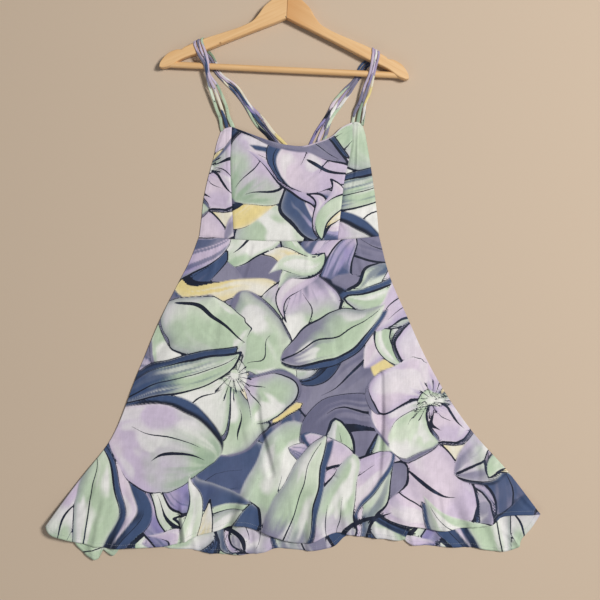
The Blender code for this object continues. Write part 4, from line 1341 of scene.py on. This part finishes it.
# ------------------------------------------------------------------ materials
class Nodes:
    """Short calls to add and join the nodes of one material."""

    def __init__(self, name):
        self.material = bpy.data.materials.new(name)
        self.material.use_nodes = True
        self.tree = self.material.node_tree
        self.shader = self.tree.nodes["Principled BSDF"]

    def add(self, kind, inputs=None, **settings):
        """A node: its settings by name, and its inputs by name or number, each a value or another
        node's output."""
        node = self.tree.nodes.new("ShaderNode" + kind)
        for key, value in settings.items():
            setattr(node, key, value)
        for key, value in (inputs or {}).items():
            self.join(value, node.inputs[key])
        return node

    def join(self, value, socket):
        """Link a node's output to a socket, or set the socket to a value or a colour."""
        if isinstance(value, bpy.types.NodeSocket):
            self.tree.links.new(value, socket)
        elif isinstance(value, np.ndarray):
            socket.default_value = (*value.tolist(), 1.0)
        else:
            socket.default_value = value

    def set(self, **values):
        """The shader's own inputs, by name."""
        for key, value in values.items():
            self.join(value, self.shader.inputs[key.replace("_", " ")])

    def place(self):
        return self.add("TexCoord").outputs["Object"]

    def math(self, operation, a, b=0.0):
        return self.add("Math", {0: a, 1: b}, operation=operation).outputs[0]

    def step(self, value, low, high, to_low=0.0, to_high=1.0):
        """A smooth step of a value from low to high."""
        inputs = {0: value, 1: low, 2: high, 3: to_low, 4: to_high}
        return self.add("MapRange", inputs, interpolation_type="SMOOTHSTEP").outputs[0]

    def mix(self, share, a, b, blend="MIX"):
        inputs = {0: share, 6: a, 7: b}
        return self.add("Mix", inputs, data_type="RGBA", blend_type=blend).outputs[2]

    def noise(self, vector, scale, detail=2.0, roughness=0.5):
        inputs = {"Vector": vector, "Scale": scale, "Detail": detail, "Roughness": roughness}
        return self.add("TexNoise", inputs).outputs["Fac"]

    def streaks(self, vector, scale, turn=0.0, detail=2.0, roughness=0.5):
        """Noise in coordinates that are turned about Z and then scaled."""
        rotated = self.add("VectorRotate", {"Vector": vector, "Angle": turn}, rotation_type="Z_AXIS")
        scaled = self.add("VectorMath", {0: rotated.outputs[0], 1: scale}, operation="MULTIPLY")
        return self.noise(scaled.outputs[0], 1.0, detail, roughness)

    def bump(self, height, strength, distance):
        node = self.add("Bump", {"Height": height, "Strength": strength, "Distance": distance})
        self.set(Normal=node.outputs[0])


def cloth_material():
    """Printed viscose: the print's colours and drawn lines, with slubs down the cloth and a
    fine weave."""
    n = Nodes("printed_viscose")
    place = n.place()
    colour = n.add("Attribute", attribute_name="print").outputs["Color"]
    line = n.add("Attribute", attribute_name="line").outputs["Vector"]
    side, away, half = n.add("SeparateXYZ", {0: line}).outputs
    wobble = n.math("MULTIPLY", n.math("SUBTRACT", n.noise(place, 380.0, 3.0), 0.5), 1.1)
    edge = n.math("ADD", n.math("SUBTRACT", half, n.math("ABSOLUTE", side)), wobble)
    on_line = n.step(edge, -0.3, 0.3)
    close = n.step(n.math("SUBTRACT", away, half), 1.3, 2.4, 1.0, 0.0)
    has_line = n.step(half, 0.06, 0.25)
    ink = n.math("MULTIPLY", n.math("MULTIPLY", on_line, close), has_line)
    ink_tone = n.mix(n.step(n.noise(place, 26.0, 3.0), 0.5, 0.8, 0.0, 0.4), INK, NAVY)
    printed = n.mix(ink, colour, ink_tone)
    slubs = n.streaks(place, (900.0, 26.0, 1.0), 0.0, 3.0, 0.6)
    cross = n.streaks(place, (60.0, 1100.0, 1.0))
    brush = n.streaks(place, (95.0, 55.0, 1.0), 0.5, 4.0, 0.65)
    shade = n.math("ADD", n.step(slubs, 0.3, 0.72, 0.87, 0.95), n.step(cross, 0.3, 0.7, -0.018, 0.018))
    shade = n.math("MULTIPLY", shade, n.step(brush, 0.3, 0.7, 0.94, 1.05))
    tone = n.add("CombineXYZ", {0: shade, 1: shade, 2: shade}).outputs[0]
    n.set(Base_Color=n.mix(1.0, printed, tone, "MULTIPLY"), Roughness=0.72)
    n.set(Sheen_Weight=0.12, Sheen_Roughness=0.45, Specular_IOR_Level=0.3)
    weave = n.math("ADD", n.math("MULTIPLY", slubs, 0.7), n.math("MULTIPLY", cross, 0.3))
    n.bump(weave, 0.3, 0.0004)
    return n.material


# Each wood's base, and what its rings, fibres, clouds, centre seam and knot turn it to.
WOOD, WOOD_RING, WOOD_FIBRE = srgb(233, 193, 141), srgb(220, 175, 120), srgb(190, 140, 86)
WOOD_CLOUD, WOOD_WARM, WOOD_KNOT = srgb(219, 171, 116), srgb(205, 146, 84), srgb(128, 84, 44)


def wood_material(name, turn, warm=0.0, knot=None):
    """Pale varnished wood with its grain at this angle. warm is how much darker it is near the
    centre seam, and knot the place of a small knot in mm."""
    n = Nodes(name)
    place = n.place()
    rings = n.streaks(place, (7.0, 190.0, 60.0), -turn, 5.0, 0.55)
    fine = n.streaks(place, (30.0, 1300.0, 400.0), -turn, 3.0, 0.6)
    cloud = n.noise(place, 14.0)
    colour = n.mix(n.step(rings, 0.3, 0.72), WOOD, WOOD_RING)
    colour = n.mix(n.step(fine, 0.5, 0.8, 0.0, 0.22), colour, WOOD_FIBRE)
    colour = n.mix(n.step(cloud, 0.35, 0.7, 0.0, 0.3), colour, WOOD_CLOUD)
    x = n.add("SeparateXYZ", {0: place}).outputs[0]
    colour = n.mix(n.step(x, -0.012, 0.07, warm, 0.0), colour, WOOD_WARM)
    if knot:
        inputs = {0: place, 1: [c * MM for c in knot]}
        away = n.add("VectorMath", inputs, operation="DISTANCE").outputs["Value"]
        away = n.math("ADD", away, n.math("MULTIPLY", n.noise(place, 600.0), 0.002))
        colour = n.mix(n.step(away, 0.0016, 0.0036, 0.75, 0.0), colour, WOOD_KNOT)
    n.set(Base_Color=colour, Roughness=n.step(rings, 0.2, 0.8, 0.42, 0.5))
    n.set(Coat_Weight=0.35, Coat_Roughness=0.28)
    n.bump(fine, 0.12, 0.0003)
    return n.material


def steel_material(name, light, dark):
    """Metal with fine scratches."""
    n = Nodes(name)
    scratches = n.streaks(n.place(), (300.0, 300.0, 900.0), 0.0, 3.0)
    n.set(Base_Color=n.mix(scratches, light, dark), Metallic=1.0)
    n.set(Roughness=n.step(scratches, 0.3, 0.7, 0.2, 0.3))
    n.bump(scratches, 0.05, 0.0001)
    return n.material


def thread_material():
    """Pale sewing thread with its twist."""
    n = Nodes("pale_thread")
    twist = n.streaks(n.place(), (2600.0, 900.0, 900.0), 0.6)
    n.set(Base_Color=n.mix(twist, srgb(146, 152, 160), srgb(178, 182, 188)))
    n.set(Roughness=n.step(twist, 0.3, 0.7, 0.5, 0.65))
    n.bump(twist, 0.3, 0.0001)
    return n.material


def floor_material():
    n = Nodes("plain_floor")
    n.set(Base_Color=srgb(199, 180, 159), Roughness=0.85, Specular_IOR_Level=0.2)
    return n.material


ARM_GRAIN = math.radians(27)  # the grain runs down along each arm
KNOT = (-124, 346, HANGER_UNDER + ARM)
MATERIALS = {
    "cloth": cloth_material(),
    "thread": thread_material(),
    "wood_left": wood_material("varnished_wood_left", HANGER_TILT + ARM_GRAIN, 0.0, KNOT),
    "wood_right": wood_material("varnished_wood_right", HANGER_TILT - ARM_GRAIN, 0.75),
    "wood_bar": wood_material("varnished_wood_bar", HANGER_TILT),
    "steel": steel_material("bright_steel", srgb(206, 206, 204), srgb(188, 189, 190)),
    "dark_steel": steel_material("dark_steel", srgb(96, 84, 74), srgb(66, 58, 52)),
    "floor": floor_material(),
}


# ------------------------------------------------------------------ the dress
PRINT = make_print()


def make_panels():
    skirt("skirt_back", BACK_HEM, BACK_SKIRT_SHAPE, back_z, Cut(10, 12, -1), 5)
    skirt("skirt_front", FRONT_HEM, SKIRT_SHAPE, front_z, Cut(0, 0), 1)
    bodice(
        "bodice_back", BACK_TOP, BACK_COLUMNS, BODICE_LEFT, BODICE_RIGHT, back_z,
        Cut(660, -160, -1),
    )
    bodice(
        "bodice_front_left", STRAP_POINT_LEFT, LEFT_COLUMNS, BODICE_LEFT, SEAM_LEFT, front_z,
        Cut(413, -418),
    )
    bodice(
        "bodice_front_centre", NECKLINE, CENTRE_COLUMNS, SEAM_LEFT, SEAM_RIGHT, front_z,
        Cut(700, 0),
    )
    bodice(
        "bodice_front_right", STRAP_POINT_RIGHT, RIGHT_COLUMNS, SEAM_RIGHT, BODICE_RIGHT, front_z,
        Cut(-306, -330),
    )


def on_hanger(u, v, z):
    """Points in the hanger's own axes as places in the scene, in mm."""
    cos, sin = math.cos(HANGER_TILT), math.sin(HANGER_TILT)
    u, v, z = np.broadcast_arrays(np.asarray(u, float), v, z)
    x, y = HANGER_MIDDLE[0] + u * cos - v * sin, HANGER_MIDDLE[1] + u * sin + v * cos
    return np.stack([x, y, z], axis=-1)


def arm_edge_y(x):
    """Y of the hanger's top edge over this x, and the edge's slope."""
    side = -1 if x < HANGER_MIDDLE[0] else 1
    u, v = np.array(ARM_TOP, float).T
    edge = on_hanger(side * u, v, 0)[::side]
    ahead, here = np.interp([x + 1, x], edge[:, 0], edge[:, 1])
    return here, ahead - here


# The places where a stretch's straps are bunched, and how much of their spacing that takes away.
PINCHES = {
    "front_left": (Spot(-147, 300, 30, 0.5), Spot(-118, 216, 18, 0.2)),
    "front_right": (Spot(147, 298, 30, 0.3), Spot(130, 243, 20, 0.3)),
    "back_left": (Spot(-124, 292, 26, 0.36), Spot(-78, 241, 38, 0.4), Spot(-34, 186, 28, 0.3)),
    "back_right": (Spot(117, 284, 26, 0.4), Spot(70, 216, 34, 0.36)),
}
PINCH_LIFT = 3.4  # how far the middle strap rises per share of the spacing taken away
STRAP_SWAY, ROUTE_STEPS = 1.1, 40
STRAP_TUCK = 3.0  # how far a strap's end runs in under its panel
STRAP_DEPTH, STRAP_SQUARENESS = 1.9, 0.75
STRAP_WALL = 0.4  # a strap is a turned tube of cloth
STRAP_RADIAN = 2.6  # how far a radian is on the way round a strap
# The colours that a narrow strip cut from the print runs through, from the back panel up round
# the arm and down to the neckline.
STRAP_COLOURS = {
    "left": (
        ("mint", "ink", "mint", "slate", "navy", "cream", "slate", "slate", "lilac", "lilac", "slate",
         "mint_pale", "mint", "mint"),
        ("slate", "slate_deep", "navy", "lavender", "navy", "lilac", "slate", "mint_deep", "slate",
         "lilac", "navy", "lilac", "cream", "navy"),
        ("yellow", "cream", "lilac_deep", "white", "cream", "pink", "white", "mint_deep", "mint",
         "lilac", "lilac", "mint_deep", "mint", "mint"),
    ),
    "right": (
        ("lavender", "lavender", "ink", "pink", "mint", "slate", "slate", "navy", "lilac_deep",
         "lilac", "lilac", "slate", "slate", "mint_pale"),
        ("slate", "lilac", "slate_deep", "white", "lilac_deep", "slate", "navy", "navy", "pink",
         "white", "lilac", "lavender", "slate", "mint_deep"),
        ("mint", "slate", "mint_pale", "mint", "white", "slate", "slate_deep", "navy", "lilac",
         "lilac_deep", "cream", "yellow", "white", "mint"),
    ),
}


def stretch(name, lane, level, inward):
    """One strap's places, widths and width directions from the arm's top edge to its panel."""
    route = smooth(ROUTES[name], ROUTE_STEPS)
    heading = np.gradient(route[:, :2], axis=0)
    across = unit(np.c_[heading[:, 1], -heading[:, 0]])
    along_arm = np.array([-1, -arm_edge_y(route[0, 0])[1]])
    along_arm /= np.linalg.norm(along_arm)
    free = ramp(np.linalg.norm(route[:, :2] - route[0, :2], axis=1) / WRAP_REACH)[:, None]
    across = free * across + (1 - free) * along_arm
    tight = spot_height(route, PINCHES[name])
    wander = noise_along(np.arange(ROUTE_STEPS) / 7, len(name), lane + 5.5) - 0.5
    aside = lane * route[:, 3] * (1 - tight) + STRAP_SWAY * wander * free[:, 0]
    rise = PINCH_LIFT * tight * (lane == 0)
    places = np.c_[route[:, :2] + aside[:, None] * across, route[:, 2] + rise]
    tail = places[-1:] + unit(places[-1:] - places[-2:-1]) * STRAP_TUCK
    x = places[0, 0]
    y, slope = arm_edge_y(x)
    y += (STRAP / 2 + WRAP_ROOM) * math.hypot(1, slope)
    bend = [(x, y + back, level + inward * up) for back, up in WRAP_BEND]
    widths = np.r_[[route[0, 4]] * len(bend), route[:, 4], route[-1, 4]]
    across = np.vstack([[along_arm] * len(bend), across, across[-1:]])
    return np.vstack([bend, places, tail]), widths, np.c_[across, np.zeros(len(across))]


def strap(side, number):
    """One strap from the back panel round the hanger's arm to the neckline."""
    lane = (STRAPS_ABREAST + 1) / 2 - number
    front, front_widths, front_across = stretch("front_" + side, lane, TOP_Z, -1)
    back, back_widths, back_across = stretch("back_" + side, lane, FLOOR_Z, 1)
    top = (front[0] + back[0]) / 2
    top[2] = WRAP_Z
    rows = np.vstack([
        np.c_[back, back_widths, -back_across][::-1],
        np.r_[top, front_widths[0], front_across[0]],
        np.c_[front, front_widths, front_across],
    ])
    rows = smooth(rows, STRAP_RINGS, 3)
    places, widths, across = rows[:, :3], rows[:, 3], rows[:, 4:]
    run = run_along(places)
    seed = 10 * number + len(side)
    roll = 0.5 * (noise_along(run / 38, seed) - 0.5)[:, None]
    widths = widths * (0.8 + 0.24 * noise_along(run / 24, seed + 1))
    depths = STRAP_DEPTH * (0.85 + 0.3 * noise_along(run / 17, seed + 2))
    normal = unit(np.cross(across, np.gradient(places, axis=0)))
    across = across * np.cos(roll) + normal * np.sin(roll)
    layers, round_it = [], []
    for inside in (0, STRAP_WALL):
        width, depth = widths - 2 * inside, depths - 2 * inside
        rings = rings_along(places, across, width, depth, STRAP_SIDES, STRAP_SQUARENESS)
        rings[..., 2] = np.maximum(rings[..., 2], inside)
        layers.append(rings.reshape(-1, 3))
        round_it.append(np.linalg.norm(rings - np.roll(rings, 1, axis=1), axis=2).sum(1).mean())
    faces = hollow_faces(STRAP_RINGS, STRAP_SIDES)
    piece = finished(f"strap_{side}_{number}", np.vstack(layers), faces, "cloth")
    colour, line = strap_print(run, STRAP_COLOURS[side][number - 1], seed)
    give_colours(piece.data, np.tile(colour, (2, 1)), np.tile(line, (2, 1)))
    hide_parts(f"strap_front_{side}_{number}", f"strap_back_{side}_{number}")


def strap_print(run, names, seed):
    """The colours and drawn lines of a strap's points: its colours follow each other along it,
    parted by slanting lines, and one more dark line wanders lengthwise, partly a line of the print
    and partly painted shade along the straps' sides."""
    at, turn = [v.ravel() for v in np.meshgrid(run, circle(STRAP_SIDES), indexing="ij")]
    cell = run[-1] / len(names)
    slant = 0.42 * np.sin(turn + at / 50 + seed) + 0.9 * (noise_along(at / 30, seed) - 0.5)
    place = at / cell + slant
    palette = np.array([COLOURS[name] for name in names])
    k = np.clip(np.floor(place), 0, len(names) - 1).astype(int)
    colour = palette[k] * (0.78 + 0.24 * noise(at / 26, turn * 0.8, seed + 1))[:, None]
    border = np.round(place)
    gap = (place - border) * cell
    drawn = 1.1 * hashed(border.astype(int), 3, seed) - 0.2
    # painted shade: a dark line that wanders along the strap, partly a print line and partly standing
    # in for the shade between the straps
    wander = 2 * math.pi * noise_along(at / 60, seed + 2)
    side = (np.mod(turn - wander + math.pi, 2 * math.pi) - math.pi) * STRAP_RADIAN
    shade_line_half = 1.3 * noise_along(at / 22, seed + 3) - 0.45
    crossing = np.abs(gap) - drawn < np.abs(side) - shade_line_half
    signed = np.where(crossing, gap, side)
    half = np.clip(np.where(crossing, drawn, shade_line_half), 0, 1.2)
    return colour, np.c_[signed, np.abs(signed), half]


# ------------------------------------------------------------------ the hanger
ARM_ROUND, ARM_ROUND_STEPS = 2.0, 5
ARM_STEPS, ARM_SEAM_STEPS = (64, 36, 44), 10  # over its top, round its end and along its underside
PLANED_IN, PLANED_DOWN = 0.3, 0.2  # the arms' lower edges are rounded this much further in and down
ARM_TIP = ARM_END[-1][0]
BAR_CORNER, BAR_CORNER_STEPS, BAR_STEPS, BAR_SIDES = 1.2, 6, 60, 40
HOOK_STEPS, HOOK_TIP_STEPS, HOOK_SIDES = 140, 4, 20
PIN_PLACE = (-6.8, 392.4)  # beside the seam between the arms
# The pin's rounded head, from inside the wood up.
PIN_RADII, PIN_HEIGHTS = (1.3, 1.3, 1.105, 0.65, 0.05), (-1.0, 0.0, 0.2, 0.32, 0.36)


def inset(outline, by):
    """An arm's outline moved in along its normals by an amount for each point, less so at its tip
    and at the centre seam. It runs clockwise."""
    way = unit(np.roll(outline, -1, axis=0) - np.roll(outline, 1, axis=0))
    u = outline[:, 0]
    kept = np.minimum(0.3 + 0.7 * ramp((ARM_TIP - u) / 16), 0.2 + 0.8 * ramp(u / 5))
    return outline + (by * kept)[:, None] * np.c_[way[:, 1], -way[:, 0]]


def arm(side):
    """A wooden arm, the left one for -1 and the right one for 1: its outline in rings from the
    underside up, drawn in where its edges are rounded."""
    over, end, under = map(smooth, (ARM_TOP, ARM_END, ARM_UNDER), ARM_STEPS)
    seam = np.linspace((0, ARM_UNDER[-1][1]), (0, ARM_TOP[0][1]), ARM_SEAM_STEPS)[1:-1]
    outline = np.vstack([over, end, under, seam])
    outline[:, 0] = np.maximum(outline[:, 0], SEAM / 2)
    share = np.linspace(0, 1, len(under))
    planed = np.zeros(len(outline))
    planed[len(over) + len(end) : -len(seam)] = ramp(share * 4) * ramp((1 - share) * 12)
    turns = np.linspace(0, math.pi / 2, ARM_ROUND_STEPS)
    rings = []
    for t in turns:
        z = np.full(len(outline), HANGER_UNDER + ARM_ROUND * (1 - math.cos(t)))
        rings.append(np.c_[inset(outline, ARM_ROUND * (1 - math.sin(t))), z])
    for t in turns[::-1]:
        by = ARM_ROUND * (1 - math.sin(t)) * (1 + PLANED_IN * planed)
        z = HANGER_UNDER + ARM - ARM_ROUND * (1 - math.cos(t)) * (1 + PLANED_DOWN * planed)
        rings.append(np.c_[inset(outline, by), z])
    rings = np.array(rings)
    rings[..., 0] *= side
    if side > 0:
        rings = rings[:, ::-1]
    points = on_hanger(*np.moveaxis(rings, -1, 0)).reshape(-1, 3)
    name = "left" if side < 0 else "right"
    faces = tube_faces(len(rings), len(outline))
    piece = finished("hanger_arm_" + name, points, faces, "wood_" + name, 2)
    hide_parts("hanger_arm_" + name)


def rod(name, places, radii, sides, material, facing=(0.0, 0.0, 1.0)):
    """A round piece along a line of places. facing is a direction across the line."""
    across = np.tile(facing, (len(places), 1))
    rings = rings_along(places, across, 2 * radii, 2 * radii, sides, 1)
    return finished(name, rings.reshape(-1, 3), tube_faces(len(places), sides), material)


def bar_profile():
    """Places along the bar and its radii there, with rounded ends."""
    t = np.linspace(0, math.pi / 2, BAR_CORNER_STEPS)
    start, radii = BAR_CORNER * (1 - np.cos(t)), BAR_RADIUS - BAR_CORNER * (1 - np.sin(t))
    middle = np.linspace(BAR_CORNER, 2 * BAR_HALF - BAR_CORNER, BAR_STEPS)[1:-1]
    at = np.r_[start, middle, 2 * BAR_HALF - start[::-1]]
    return at - BAR_HALF, np.r_[radii, np.full(len(middle), BAR_RADIUS), radii[::-1]]


def hook_profile():
    """Places along the hook from its foot to its tip, across and along the hanger, and its radii
    there."""
    shank = [(0, v) for v in np.linspace(HOOK_FOOT_V, HOOK_NECK_V, 8)]
    turns = np.radians(np.linspace(*HOOK_TURN, 24))
    bend = [(HOOK_BEND * math.cos(t), HOOK_CENTRE_V + HOOK_BEND * math.sin(t)) for t in turns]
    radii = np.full(HOOK_STEPS, HOOK_RADIUS)
    tip = HOOK_RADIUS * np.sin(np.linspace(0.3, math.pi / 2, HOOK_TIP_STEPS))
    radii[:HOOK_TIP_STEPS], radii[-HOOK_TIP_STEPS:] = tip, tip[::-1]
    return smooth(shank + bend, HOOK_STEPS), radii


def make_hanger():
    for side in (-1, 1):
        arm(side)
    at, radii = bar_profile()
    places = on_hanger(at, BAR_V, ARM_CENTRE)
    bar = rod("hanger_bar", places, radii, BAR_SIDES, "wood_bar")
    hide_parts("hanger_bar")
    path, radii = hook_profile()
    places = on_hanger(*path.T, ARM_CENTRE)
    hook = rod("hanger_hook", places, radii, HOOK_SIDES, "steel")
    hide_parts("hanger_hook")
    places = np.array([(*PIN_PLACE, HANGER_UNDER + ARM + height) for height in PIN_HEIGHTS])
    radii = np.array(PIN_RADII)
    rod("hanger_pin", places, radii, HOOK_SIDES, "dark_steel", (1.0, 0.0, 0.0))


# ------------------------------------------------------------------ camera, light and floor
CAMERA = (0.018, -0.1116, 1.5)  # straight over the middle of the view
LENS, SENSOR = 50, 36
FLOOR_HALF, CORNERS = 4.0, ((-1, -1), (1, -1), (1, 1), (-1, 1))
SKY, SKY_STRENGTH = (0.96, 0.97, 1.0, 1), 0.2


class Lamp(NamedTuple):
    """A round lamp: its place and what it is aimed at, its width in metres, power and colour."""

    name: str
    place: tuple
    aim: tuple
    width: float
    power: float
    colour: tuple


LAMPS = (
    Lamp("key", (2.45, 0.9, 3.6), (0, -0.12, 0), 1.0, 178, (1.0, 0.98, 0.95)),
    Lamp("fill", (-1.2, -2.2, 2.2), (0, -0.1, 0), 1.8, 11, (0.94, 0.97, 1.0)),
)


def add_lamp(lamp):
    """The lamp in the scene, turned to what it is aimed at."""
    light = bpy.data.lights.new(lamp.name, "AREA")
    light.shape = "DISK"
    light.size = lamp.width
    light.energy = lamp.power
    light.color = lamp.colour
    stand = linked(lamp.name, light)
    stand.location = lamp.place
    towards = mathutils.Vector(np.subtract(lamp.aim, lamp.place))
    stand.rotation_euler = towards.to_track_quat("-Z", "Y").to_euler()


def make_setting():
    scene = bpy.context.scene
    camera = linked("camera", bpy.data.cameras.new("camera"))
    camera.data.lens, camera.data.sensor_width = LENS, SENSOR
    camera.location = CAMERA
    scene.camera = camera
    corners = [(x * FLOOR_HALF, y * FLOOR_HALF, -FLOOR_DROP * MM) for x, y in CORNERS]
    mesh = bpy.data.meshes.new("floor")
    mesh.from_pydata(corners, [], [(0, 1, 2, 3)])
    mesh.materials.append(MATERIALS["floor"])
    linked("floor", mesh)
    for lamp in LAMPS:
        add_lamp(lamp)
    world = bpy.data.worlds.new("studio")
    world.use_nodes = True
    background = world.node_tree.nodes["Background"]
    background.inputs["Color"].default_value = SKY
    background.inputs["Strength"].default_value = SKY_STRENGTH
    scene.world = world
    scene.view_settings.view_transform = "Standard"


make_panels()
for side in ("left", "right"):
    for number in range(1, STRAPS_ABREAST + 1):
        strap(side, number)
make_hanger()
make_setting()
